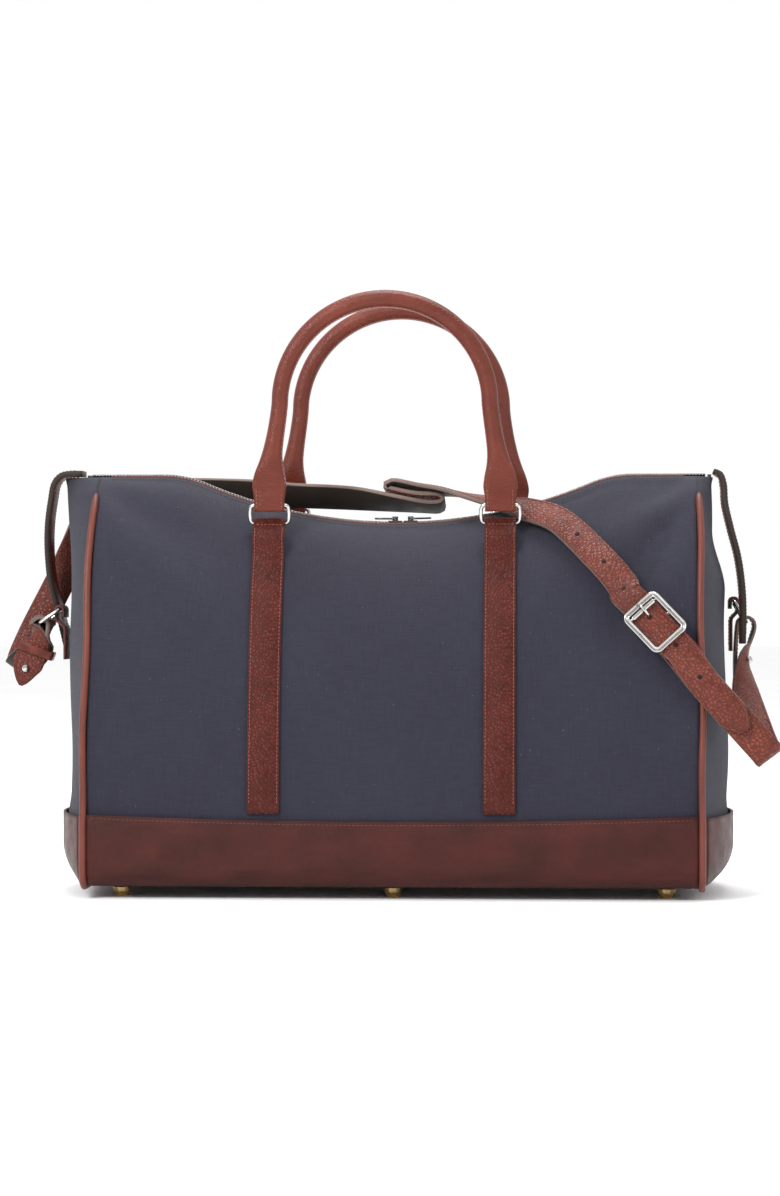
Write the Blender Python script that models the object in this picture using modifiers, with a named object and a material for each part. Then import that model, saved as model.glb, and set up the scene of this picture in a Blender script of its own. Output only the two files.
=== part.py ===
"""Weekender bag: canvas body, leather base, two ring-hung handles, a zip and a buckled shoulder strap.

Metres, +Z up. The front faces -Y and the bag's length runs along X.
"""
import math

import bmesh
import bpy
from mathutils import Matrix, Vector

# Where the bag's own middle sits, so that the whole outline is centred on the origin.
BAG_MIDDLE = (0.00885, 0.0, 0.0)

# Body
HALF_LENGTH = 0.241
HALF_DEPTH = 0.110
BAND_TOP = 0.064
CANVAS = 0.0018
LEATHER = 0.0022
SEAM_GAP = 0.0032
BASE_DEPTH = 0.1127
BASE_BOTTOM = 0.0092
BASE_CORNER = 0.014
END_SWELL = 0.0255
PIPING_RADIUS = 0.00275

# Zip: it sags in an arc between the handles and runs level near the ends.
ZIP_LOW = 0.2955
ZIP_EDGE = 0.013
SAG_RADIUS = 0.400
SAG_HALF = 0.155
LEVEL_RUN = 0.035
CHAIN_HALF = 0.003
CHAIN_DEPTH = 0.0024
SLIDER_MIDDLE = 0.004
SLIDER_STEP = 0.0063

# Handles and their rings
FRONT_HANDLE_X = -0.008
BACK_HANDLE_X = 0.0
RING_REACH = 0.0919
LOWER_BAR = (0.0515, 0.2947)
UPPER_BAR = (0.0545, 0.3086)
WIRE = 0.0015
CHAPE_HALF = 0.0125
ARCH_RADIUS = 0.0835
ARCH_HEIGHT = 0.389

# Shoulder strap
STRAP_HALF = 0.0125
STRAP_THICK = 0.004
SHORT_THICK = 0.0024
BUCKLE_LIFT = 0.0114
BAR_DROP = 0.00655
HOLE_STEP = 0.031
FRONT_ACROSS = (0.745, 0.0, 0.667)
PRONG_HOLE = -0.0066

# End fittings
LEFT_RING_PIVOT = (-0.2735, -0.008, 0.2253)
RIGHT_RING_PIVOT = (0.2715, 0.013, 0.2322)
LEFT_TAB_PIVOT = (-0.2560, 0.0, 0.3352)
RIGHT_TAB_PIVOT = (0.2560, 0.0, 0.3352)

LEFT_STUD = (-0.3020, -0.0115, 0.1780)
RIGHT_STUD = (0.2810, 0.0030, 0.1850)

FOOT_X = (-0.214, 0.0, 0.214)
FOOT_Y = 0.080


def clear_scene():
    for obj in list(bpy.data.objects):
        bpy.data.objects.remove(obj, do_unlink=True)


def material(name, colour, roughness, metallic=0.0):
    made = bpy.data.materials.new(name)
    made.use_nodes = True
    shader = made.node_tree.nodes["Principled BSDF"]
    shader.inputs["Base Color"].default_value = (*colour, 1.0)
    shader.inputs["Roughness"].default_value = roughness
    shader.inputs["Metallic"].default_value = metallic
    made.diffuse_color = (*colour, 1.0)
    return made


def new_collection(name):
    made = bpy.data.collections.new(name)
    bpy.context.scene.collection.children.link(made)
    return made


clear_scene()
BAG = new_collection("weekender_bag")
CUTTERS = new_collection("cutters")

CANVAS_NAVY = material("canvas_navy", (0.055, 0.060, 0.095), 0.85)
BASE_LEATHER = material("base_leather", (0.120, 0.038, 0.030), 0.50)
TRIM_LEATHER = material("trim_leather", (0.190, 0.055, 0.042), 0.48)
STRAP_LEATHER = material("strap_leather", (0.250, 0.085, 0.065), 0.50)
LINING_CLOTH = material("lining_cloth", (0.180, 0.150, 0.120), 0.90)
BOARD = material("base_board", (0.080, 0.070, 0.060), 0.80)
ZIP_CLOTH = material("zip_cloth", (0.020, 0.018, 0.020), 0.80)
NICKEL = material("nickel", (0.720, 0.700, 0.680), 0.20, 1.0)
DARK_NICKEL = material("dark_nickel", (0.180, 0.170, 0.160), 0.30, 1.0)
BRASS = material("brass", (0.600, 0.420, 0.180), 0.30, 1.0)


def group(name, place, parent=None):
    """An empty that holds the pieces of one body, on its joint's axis."""
    empty = bpy.data.objects.new(name, None)
    empty.empty_display_size = 0.01
    empty.location = place
    if parent is not None:
        empty.parent = parent
        empty.location = Vector(place) - held_at(parent)
    BAG.objects.link(empty)
    return empty


def held_at(obj):
    """Place of an object in the bag's own frame, through its parents."""
    place = Vector((0.0, 0.0, 0.0))
    while obj is not None and obj.name != "bag":
        place += obj.location
        obj = obj.parent
    return place


def attach(obj, parent, pivot=None):
    """Hang an object on its body's empty, with its own origin on the pivot."""
    origin = held_at(parent) if pivot is None else Vector(pivot)
    obj.data.transform(Matrix.Translation(-origin))
    obj.parent = parent
    obj.location = origin - held_at(parent)
    return obj


def add(name, data, look):
    obj = bpy.data.objects.new(name, data)
    data.materials.append(look)
    BAG.objects.link(obj)
    return obj


def sheet(name, columns, rows, place, thickness, look, closed=False):
    """A flat grid bent to shape by place(u, v) and thickened evenly to both sides."""
    mesh = bpy.data.meshes.new(name)
    grid = bmesh.new()
    bmesh.ops.create_grid(grid, x_segments=columns, y_segments=rows, size=0.5)
    for vertex in grid.verts:
        vertex.co = place(vertex.co.x + 0.5, vertex.co.y + 0.5)
    if closed:
        bmesh.ops.remove_doubles(grid, verts=grid.verts, dist=1e-6)
    grid.to_mesh(mesh)
    grid.free()
    obj = add(name, mesh, look)
    solid = obj.modifiers.new("thickness", 'SOLIDIFY')
    solid.thickness = thickness
    solid.offset = 0.0
    solid.use_even_offset = True
    solid.use_quality_normals = True
    return obj


def strip(name, path, widths, thickness, look, closed=False):
    """A strap of leather along a path of (middle, width direction), one half width for each."""
    last = len(path) - 1

    def place(u, v):
        index = round(u * last)
        middle, across = path[index]
        return middle + across * (2.0 * v - 1.0) * widths[index]

    return sheet(name, last, 1, place, thickness, look, closed)


def tube(name, points, radius, look, cyclic=False, resolution=2):
    curve = bpy.data.curves.new(name, 'CURVE')
    curve.dimensions = '3D'
    curve.bevel_depth = radius
    curve.bevel_resolution = resolution
    curve.use_fill_caps = not cyclic
    spline = curve.splines.new('POLY')
    spline.points.add(len(points) - 1)
    for knot, point in zip(spline.points, points):
        knot.co = (*point, 1.0)
    spline.use_cyclic_u = cyclic
    return add(name, curve, look)


def turned(name, profile, look, steps=20, hollow=False):
    """A solid of revolution about Z from a profile of (radius, height), top to bottom."""
    mesh = bpy.data.meshes.new(name)
    edges = [(i, i + 1) for i in range(len(profile) - 1)]
    if hollow:
        edges.append((len(profile) - 1, 0))
    mesh.from_pydata([(r, 0.0, z) for r, z in profile], edges, [])
    obj = add(name, mesh, look)
    screw = obj.modifiers.new("turn", 'SCREW')
    screw.steps = steps
    screw.render_steps = steps
    screw.use_merge_vertices = True
    screw.merge_threshold = 1e-5
    return obj


def loft(name, rings, look):
    """Skin a row of closed rings of points into one solid with flat ends."""
    shape = bmesh.new()
    loops = [[shape.verts.new(point) for point in ring] for ring in rings]
    for low, high in zip(loops, loops[1:]):
        for i in range(len(low)):
            j = (i + 1) % len(low)
            shape.faces.new((low[i], low[j], high[j], high[i]))
    shape.faces.new(loops[0][::-1])
    shape.faces.new(loops[-1])
    bmesh.ops.recalc_face_normals(shape, faces=shape.faces)
    mesh = bpy.data.meshes.new(name)
    shape.to_mesh(mesh)
    shape.free()
    return add(name, mesh, look)


def cutter(name, shape):
    """A hidden solid that a Boolean uses."""
    mesh = bpy.data.meshes.new(name)
    shape.to_mesh(mesh)
    shape.free()
    obj = bpy.data.objects.new(name, mesh)
    obj.hide_render = True
    obj.display_type = 'WIRE'
    CUTTERS.objects.link(obj)
    return obj


def rod_shape(middle, axis, radius, length, sides=10):
    shape = bmesh.new()
    bmesh.ops.create_cone(shape, cap_ends=True, segments=sides, radius1=radius, radius2=radius, depth=length)
    turn = Vector((0.0, 0.0, 1.0)).rotation_difference(Vector(axis)).to_matrix().to_4x4()
    shape.transform(Matrix.Translation(Vector(middle)) @ turn)
    return shape


def box_shape(size, placing):
    shape = bmesh.new()
    bmesh.ops.create_cube(shape, size=1.0)
    shape.transform(placing @ Matrix.Diagonal((*size, 1.0)))
    return shape


def combine(obj, tool, how):
    """Cut or join with a tool that keeps its place beside the object."""
    tool.parent = obj.parent
    tool.location = obj.location
    if obj.data.name in bpy.data.meshes:
        step = obj.modifiers.new(tool.name, 'BOOLEAN')
        step.operation = how
        step.solver = 'EXACT'
        step.object = tool
    return obj


def smooth_step(value, low, high):
    part = min(max((value - low) / (high - low), 0.0), 1.0)
    return part * part * (3.0 - 2.0 * part)


def ridge(x):
    """Height of the closed zip's top."""
    reach = abs(x)
    arc = min(reach, SAG_HALF)
    height = ZIP_LOW + SAG_RADIUS - math.sqrt(SAG_RADIUS ** 2 - arc ** 2)
    slope = SAG_HALF / math.sqrt(SAG_RADIUS ** 2 - SAG_HALF ** 2)
    run = min(max(reach - SAG_HALF, 0.0), LEVEL_RUN)
    return height + slope * (run - run * run / (2.0 * LEVEL_RUN))


def wall(x, t, side, out=0.0):
    """Point off the canvas front (side -1) or back (+1): t is 0 at the leather band and 1 at the zip."""
    if t < 0.0:
        return Vector((x, side * (HALF_DEPTH + out), BAND_TOP + 0.3 * t))
    top = ridge(x)
    poles = ((HALF_DEPTH, BAND_TOP), (HALF_DEPTH, 0.170), (0.076, top - 0.012), (ZIP_EDGE, top - 0.001))
    r = 1.0 - t
    share = (r ** 3, 3 * r * r * t, 3 * r * t * t, t ** 3)
    y = sum(part * pole[0] for part, pole in zip(share, poles))
    z = sum(part * pole[1] for part, pole in zip(share, poles))
    rate = (r * r, 2 * r * t, t * t)
    dy = sum(rate[i] * (poles[i + 1][0] - poles[i][0]) for i in range(3))
    dz = sum(rate[i] * (poles[i + 1][1] - poles[i][1]) for i in range(3))
    size = math.hypot(dy, dz)
    return Vector((x, side * (y + out * dz / size), z - out * dy / size))


def wall_at(x, z, side, out=0.0):
    """Point off the canvas at a height."""
    low, high = 0.0, 1.0
    for _ in range(30):
        t = 0.5 * (low + high)
        if wall(x, t, side).z < z:
            low = t
        else:
            high = t
    return wall(x, low, side, out)


def end_wall(s, t, side, out=0.0, inset=0.0):
    """Point off the canvas end: s runs from the front seam (-1) to the back seam (+1)."""
    edge = wall(HALF_LENGTH, t, 1, -inset)
    if side < 0:
        swell = END_SWELL + 0.0045 * smooth_step(edge.z, 0.22, 0.30)
    else:
        swell = END_SWELL - 0.0125 * smooth_step(edge.z, 0.24, 0.29)
    x = HALF_LENGTH + swell * (1.0 - s * s) + out
    return Vector((side * x, edge.y * s, edge.z))


def turn_under(z):
    """How far the ends have swelled at a height: they roll under at the floor."""
    return math.sqrt(1.0 - (1.0 - min((z - 0.0105) / 0.030, 1.0)) ** 2)


def base_profile(depth):
    """Leather base from the front's top edge, under the bag, to the back's top edge."""
    inside = BASE_CORNER - depth
    points = [(-(BASE_DEPTH - depth), BAND_TOP), (-(BASE_DEPTH - depth), 0.044)]
    for step in range(5):
        angle = math.radians(22.5 * step)
        points.append((-(BASE_DEPTH - BASE_CORNER) - inside * math.cos(angle),
                       BASE_BOTTOM + BASE_CORNER - inside * math.sin(angle)))
    points.append((-0.050, BASE_BOTTOM + depth))
    return points + [(0.0, BASE_BOTTOM + depth)] + [(-y, z) for y, z in reversed(points)]


def make_body(bag):
    reach = HALF_LENGTH - SEAM_GAP

    for name, side in (("front_panel", -1), ("back_panel", 1)):
        def panel(u, v, side=side):
            return wall((2.0 * u - 1.0) * reach, -0.03 + 1.03 * v, side, -0.5 * CANVAS)
        attach(sheet(name, 24, 14, panel, CANVAS, CANVAS_NAVY), bag)

    profile = base_profile(0.5 * LEATHER)
    last = len(profile) - 1

    def base(u, v):
        x = (2.0 * u - 1.0) * reach
        index = round(v * last)
        y, z = profile[index]
        if index in (0, last):
            z -= 0.003 - 0.005 * (x / HALF_LENGTH) ** 2
        return Vector((x, y, z))
    attach(sheet("base_leather", 8, last, base, LEATHER, BASE_LEATHER), bag)

    for name, side in (("left", -1), ("right", 1)):
        def end(u, v, side=side):
            t = -0.03 + 0.995 * v
            s = 2.0 * u - 1.0
            return end_wall(s, t, side, 0.0007 - 0.5 * CANVAS, SEAM_GAP)
        attach(sheet(name + "_end_panel", 8, 12, end, CANVAS, CANVAS_NAVY), bag)

        def foot_band(u, v, side=side):
            s = 2.0 * u - 1.0
            z = 0.0132 + (BAND_TOP - 0.0132) * v
            rise = min((z - BASE_BOTTOM) / BASE_CORNER, 1.0)
            half = BASE_DEPTH - BASE_CORNER + BASE_CORNER * math.sqrt(1.0 - (1.0 - rise) ** 2)
            half -= SEAM_GAP * (1.6 - 0.6 * rise)
            x = HALF_LENGTH + 0.0026 + (END_SWELL + 0.0005) * (1.0 - s * s) * turn_under(z)
            return Vector((side * x, half * s, z))
        attach(sheet(name + "_end_leather", 8, 6, foot_band, LEATHER, BASE_LEATHER), bag)

        attach(make_piping(name + "_piping", side), bag)

    board = bmesh.new()
    bmesh.ops.create_cube(board, size=1.0)
    board.transform(Matrix.Translation((0.0, 0.0, 0.0134)) @ Matrix.Diagonal((0.470, 0.194, 0.003, 1.0)))
    mesh = bpy.data.meshes.new("base_board")
    board.to_mesh(mesh)
    board.free()
    attach(add("base_board", mesh, BOARD), bag)
    attach(make_lining(), bag)


def make_piping(name, side):
    """Leather cord round one end: up the front seam, under the base and up the back seam."""
    half = []
    for t in (0.84, 0.78, 0.70, 0.62, 0.52, 0.42, 0.32, 0.22, 0.12, 0.04):
        half.append(wall(side * HALF_LENGTH, t, -1, 0.0010))
    for y, z in base_profile(0.0)[:8]:
        middle = Vector((side * HALF_LENGTH, y, z))
        if z > BAND_TOP - 0.001:
            continue
        half.append(middle + Vector((0.0, -0.0002, 0.0)))
    half = [Vector(point) for point in half]
    back = [Vector((point.x, -point.y, point.z)) for point in reversed(half)]
    return tube(name, half + back, PIPING_RADIUS, TRIM_LEATHER)


def make_lining():
    """Cloth tub that hangs inside the canvas, open towards the zip."""
    levels = [(-0.13, 0.012), (-0.12, 0.002)] + [(t, 0.0) for t in (-0.03, 0.15, 0.32, 0.50, 0.64, 0.77)]
    clear = CANVAS + 0.0026
    rings = []
    for t, inset in levels:
        ring = []
        low = 0.0158 if inset > 0.01 else (0.020 if inset > 0.0 else None)
        for side in (-1, 1):
            for k in range(12):
                x = side * (-1.0 + 2.0 * k / 12.0) * (HALF_LENGTH - 0.004 - inset)
                ring.append(wall(-x, t, side, -clear - inset))
            for k in range(6):
                s = side * (1.0 - 2.0 * k / 6.0)
                point = end_wall(s, t, -side, -clear - inset)
                point.y = wall(HALF_LENGTH - 0.004 - inset, t, 1, -clear - inset).y * s
                ring.append(point)
        for point in ring:
            if low is not None:
                over = max(abs(point.x) - HALF_LENGTH + 0.006, 0.0)
                point.x -= math.copysign(over * (1.0 - turn_under(low)), point.x)
                point.z = low
        rings.append(ring)

    mesh = bpy.data.meshes.new("lining")
    tub = bmesh.new()
    loops = [[tub.verts.new(point) for point in ring] for ring in rings]
    for low, high in zip(loops, loops[1:]):
        for i in range(len(low)):
            j = (i + 1) % len(low)
            tub.faces.new((low[i], low[j], high[j], high[i]))
    tub.faces.new(loops[0][::-1])
    bmesh.ops.recalc_face_normals(tub, faces=tub.faces)
    tub.to_mesh(mesh)
    tub.free()
    obj = add("lining", mesh, LINING_CLOTH)
    solid = obj.modifiers.new("thickness", 'SOLIDIFY')
    solid.thickness = 0.001
    solid.offset = 0.0
    return obj


def make_feet(bag):
    profile = [(0.0, 0.0089), (0.0062, 0.0089), (0.0078, 0.0074), (0.0070, 0.0040), (0.0045, 0.0), (0.0, 0.0)]
    names = ("left", "middle", "right")
    for side, row in ((-1, "front"), (1, "back")):
        for x, name in zip(FOOT_X, names):
            foot = turned(f"foot_{row}_{name}", profile, BRASS, 16)
            foot.parent = bag
            foot.location = (x, side * FOOT_Y, 0.0)


def make_zip(bag):
    for name, side in (("front", -1), ("back", 1)):
        def tape(u, v, side=side):
            x = (2.0 * u - 1.0) * (HALF_LENGTH - 0.0025)
            return Vector((x, side * (0.0035 + 0.013 * v), ridge(x) - 0.0056))
        attach(sheet(name + "_zip_tape", 40, 1, tape, 0.001, ZIP_CLOTH), bag)

    def chain(u, v):
        x = (2.0 * u - 1.0) * 0.2495
        return Vector((x, (2.0 * v - 1.0) * CHAIN_HALF, ridge(x) - 0.5 * CHAIN_DEPTH))
    attach(sheet("zip_chain", 50, 1, chain, CHAIN_DEPTH, DARK_NICKEL), bag)

    for name, side in (("left", -1), ("right", 1)):
        x = side * 0.2513
        shape = box_shape((0.0030, 0.0070, 0.0032), Matrix.Translation((x, 0.0, ridge(x) - 0.001)))
        mesh = bpy.data.meshes.new(name + "_zip_stop")
        shape.to_mesh(mesh)
        shape.free()
        attach(add(name + "_zip_stop", mesh, DARK_NICKEL), bag)


def make_sliders(bag):
    """Two sliders head to head, each with a wire pull that lies back along the zip."""
    hub = Vector((0.0, 0.0, ZIP_LOW + SAG_RADIUS))
    for name, side in (("left", -1), ("right", 1)):
        angle = math.asin((SLIDER_MIDDLE + side * SLIDER_STEP) / SAG_RADIUS)
        turn = Matrix.Rotation(-angle, 4, 'Y')
        placing = Matrix.Translation(hub) @ turn @ Matrix.Translation((0.0, 0.0, -SAG_RADIUS))
        body = group(name + "_slider_body", hub, bag)

        section = ((-0.0044, -0.0034), (-0.0044, 0.0014), (0.0044, 0.0014), (0.0044, -0.0034))

        def channel(u, v, placing=placing):
            y, z = section[round(v * 3)]
            return placing @ Vector(((u - 0.5) * 0.0110, y, z))
        slider = sheet(name + "_zip_slider", 1, 3, channel, 0.0014, DARK_NICKEL)
        attach(slider, body)
        lug = cutter(name + "_lug", box_shape((0.0046, 0.0018, 0.0040),
                                              placing @ Matrix.Translation((0.0, 0.0, 0.0036))))
        lug.data.transform(Matrix.Translation(-hub))
        combine(slider, lug, 'UNION')
        eye = placing @ Vector((0.0, 0.0, 0.0038))
        drill = cutter(name + "_eye", rod_shape(eye, (0.0, 1.0, 0.0), 0.0010, 0.006))
        drill.data.transform(Matrix.Translation(-hub))
        combine(slider, drill, 'DIFFERENCE')

        outline = []
        for y, run in ((-0.0026, 0.0), (-0.0036, 0.004), (-0.0036, 0.012), (-0.0022, 0.0155),
                       (0.0022, 0.0155), (0.0036, 0.012), (0.0036, 0.004), (0.0026, 0.0)):
            outline.append(placing @ Vector((side * run, y, 0.0038)))
        pull = tube(name + "_zip_pull", outline, 0.0006, DARK_NICKEL, cyclic=True)
        holder = group(name + "_pull_body", eye, body)
        attach(pull, holder)


def hanger_path(bar, normal, down, wall_points, back_run, lead):
    """Leather that climbs a wall, loops over a bar and comes back down behind itself.

    Each wall point holds its place, outward direction, distance from the bar's foot and lift near the bar.
    """
    radius = WIRE + 0.0004 + 0.5 * LEATHER
    path = []
    for point, out, run, lift in wall_points:
        share = smooth_step(run, back_run + 0.001, back_run + 0.001 + lead)
        path.append(point + out * (lift + radius + (0.0015 - lift - radius) * share))
    for step in range(7):
        angle = math.pi * step / 6.0
        path.append(bar + normal * radius * math.cos(angle) - down * radius * math.sin(angle))
    for run in (0.45 * back_run, back_run):
        path.append(bar - normal * radius + down * run)
    return path


def make_chape(name, x, side):
    """Vertical leather strip from the base band to the ring's lower bar, each edge laid to the canvas."""
    bar = Vector((x, side * LOWER_BAR[0], LOWER_BAR[1]))
    t_foot = min((k / 400.0 for k in range(400)), key=lambda t: (wall(x, t, side) - bar).length)
    foot = wall(x, t_foot, side)
    lift = (bar - foot).length
    normal = (bar - foot) / lift
    down = (wall(x, t_foot - 0.01, side) - foot).normalized()
    edges = []
    for hand in (-1, 1):
        offset = Vector((hand * CHAPE_HALF, 0.0, 0.0))
        points = []
        for k in range(22):
            t = 0.015 + (t_foot - 0.015) * k / 22.0
            near = wall(x, t, side) + offset
            far = wall(x + offset.x, t, side)
            out = wall(x, t, side, 1.0) - wall(x, t, side)
            run = (near - offset - foot).length
            points.append((near.lerp(far, smooth_step(run, 0.013, 0.027)), out, run, lift))
        edges.append(hanger_path(bar + offset, normal, down, points, 0.012, 0.014))
    last = len(edges[0]) - 1

    def leather(u, v):
        return edges[0][round(u * last)].lerp(edges[1][round(u * last)], v)
    return sheet(name, last, 1, leather, LEATHER, TRIM_LEATHER)


def make_ring(name, x, side):
    """Wire ring that links a chape to a handle, with straight bars at its foot and top."""
    middle_y = 0.5 * (LOWER_BAR[0] + UPPER_BAR[0])
    middle_z = 0.5 * (LOWER_BAR[1] + UPPER_BAR[1])
    lean = (UPPER_BAR[0] - LOWER_BAR[0]) / (UPPER_BAR[1] - LOWER_BAR[1])
    half = 0.5 * (UPPER_BAR[1] - LOWER_BAR[1])
    corner = ((0.0128, 1.0), (0.0147, 0.84), (0.0154, 0.45), (0.0156, 0.0))
    quarter = [(a, b * half) for a, b in corner]
    outline = quarter + [(a, -b) for a, b in reversed(quarter[:-1])]
    outline += [(-a, b) for a, b in reversed(outline)]
    points = [Vector((x + a, side * (middle_y + b * lean), middle_z + b)) for a, b in outline]
    return tube(name, points, WIRE, NICKEL, cyclic=True)


def make_handle(name, x, side):
    """Rolled leather handle: a round arch whose ends flatten into tabs round the rings."""
    y = side * UPPER_BAR[0]
    leg = ((RING_REACH, 0.3036, 0.0122, 0.0040), (RING_REACH, 0.3136, 0.0122, 0.0040),
           (RING_REACH, 0.3200, 0.0132, 0.0034), (RING_REACH, 0.3250, 0.0136, 0.0038),
           (0.0914, 0.3330, 0.0122, 0.0048), (0.0904, 0.3420, 0.0098, 0.0060),
           (0.0890, 0.3520, 0.0080, 0.0068), (0.0868, 0.3650, 0.0071, 0.0068),
           (0.0848, 0.3780, 0.0068, 0.0068))
    spine = [(Vector((reach, z)), wide, deep) for reach, z, wide, deep in leg]
    for step in range(0, 15):
        angle = math.radians(180.0 * step / 28.0)
        thick = 0.0067 + 0.0005 * math.sin(angle)
        spine.append((Vector((ARCH_RADIUS * math.cos(angle), ARCH_HEIGHT + ARCH_RADIUS * math.sin(angle))),
                      thick, thick))
    spine += [(Vector((-place.x, place.y)), wide, deep) for place, wide, deep in reversed(spine[:-1])]
    rings = []
    for index, (place, wide, deep) in enumerate(spine):
        before = spine[max(index - 1, 0)][0]
        after = spine[min(index + 1, len(spine) - 1)][0]
        heading = (after - before).normalized()
        if index == 0:
            heading = Vector((0.0, 1.0))
        if index == len(spine) - 1:
            heading = Vector((0.0, -1.0))
        sideways = Vector((heading.y, -heading.x))
        square = smooth_step(wide / deep, 1.1, 2.5)
        ring = []
        for k in range(12):
            angle = 2.0 * math.pi * (k + 0.5) / 12.0
            power = 1.0 - 0.6 * square
            c = math.copysign(abs(math.cos(angle)) ** power, math.cos(angle))
            s = math.copysign(abs(math.sin(angle)) ** power, math.sin(angle))
            spot = place + sideways * wide * c
            ring.append(Vector((x + spot.x, y + deep * s, spot.y)))
        rings.append(ring)
    return loft(name, rings, TRIM_LEATHER)


def make_handles(bag):
    for row, side, middle in (("front", -1, FRONT_HANDLE_X), ("back", 1, BACK_HANDLE_X)):
        rings = group(row + "_rings", (0.0, side * LOWER_BAR[0], LOWER_BAR[1]), bag)
        swing = group(row + "_handle_body", (0.0, side * UPPER_BAR[0], UPPER_BAR[1]), rings)
        handle = make_handle(row + "_handle", middle, side)
        attach(handle, swing)
        for name, hand in (("left", -1), ("right", 1)):
            x = middle + hand * RING_REACH
            attach(make_chape(f"{row}_{name}_chape", x, side), bag)
            attach(make_ring(f"{row}_{name}_ring", x, side), rings)
            eye = cutter(f"{row}_{name}_handle_eye", rod_shape((hand * RING_REACH + middle, 0.0, 0.0),
                                                               (1.0, 0.0, 0.0), WIRE + 0.0004, 0.040, 12))
            combine(handle, eye, 'DIFFERENCE')


def smooth_path(stations, spacing=0.009):
    """Points and width directions along a curve through the stations."""
    middles = [Vector(middle) for middle, _ in stations]
    widths = [Vector(across).normalized() for _, across in stations]
    middles = [2 * middles[0] - middles[1]] + middles + [2 * middles[-1] - middles[-2]]
    widths = [widths[0]] + widths + [widths[-1]]
    path = []
    for i in range(1, len(middles) - 2):
        count = max(1, round((middles[i + 1] - middles[i]).length / spacing))
        for k in range(count):
            t = k / count
            path.append((blend(middles, i, t), blend(widths, i, t)))
    path.append((middles[-2], widths[-2]))
    result = []
    for i, (middle, across) in enumerate(path):
        heading = path[min(i + 1, len(path) - 1)][0] - path[max(i - 1, 0)][0]
        across = across - heading * (across.dot(heading) / heading.length_squared)
        result.append((middle, across.normalized()))
    return result


def blend(values, i, t):
    """Catmull-Rom curve between values i and i + 1."""
    a, b, c, d = values[i - 1:i + 3]
    return 0.5 * (2 * b + (c - a) * t + (2 * a - 5 * b + 4 * c - d) * t * t + (3 * b - a - 3 * c + d) * t ** 3)


def tongue(path, half, length, ends):
    """Half widths that narrow to a rounded point at the chosen ends."""
    runs = [0.0]
    for (a, _), (b, _) in zip(path, path[1:]):
        runs.append(runs[-1] + (b - a).length)
    widths = []
    for run in runs:
        width = half
        for end in ends:
            rest = run if end == 0 else runs[-1] - run
            if rest < length:
                width = min(width, half * (0.30 + 0.70 * math.sqrt(max(rest / length, 0.0))))
        widths.append(width)
    return widths


def buckle_frame():
    """Placing of the buckle: X down the strap, Y across it and Z out from the bag."""
    middle = wall_at(0.2045, 0.2124, -1, BUCKLE_LIFT)
    out = (wall_at(0.2045, 0.2124, -1, 1.0) - wall_at(0.2045, 0.2124, -1)).normalized()
    along = Vector((0.667, 0.0, -0.745))
    along = (along - out * along.dot(out)).normalized()
    across = out.cross(along)
    turn = Matrix((along, across, out)).transposed().to_4x4()
    return Matrix.Translation(middle) @ turn


def ring_loop(centre, radius, angles, across):
    """Stations round a bar in the upright plane along the bag."""
    stations = []
    for degrees in angles:
        angle = math.radians(degrees)
        offset = Vector((radius * math.cos(angle), 0.0, radius * math.sin(angle)))
        stations.append((Vector(centre) + offset, across))
    return stations


def laid(x, z, side, out, heading):
    """Station of a strap that lies flat on the front or the back."""
    normal = (wall_at(x, z, side, 1.0) - wall_at(x, z, side)).normalized()
    across = normal.cross(heading).normalized()
    return wall_at(x, z, side, out), across


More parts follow.
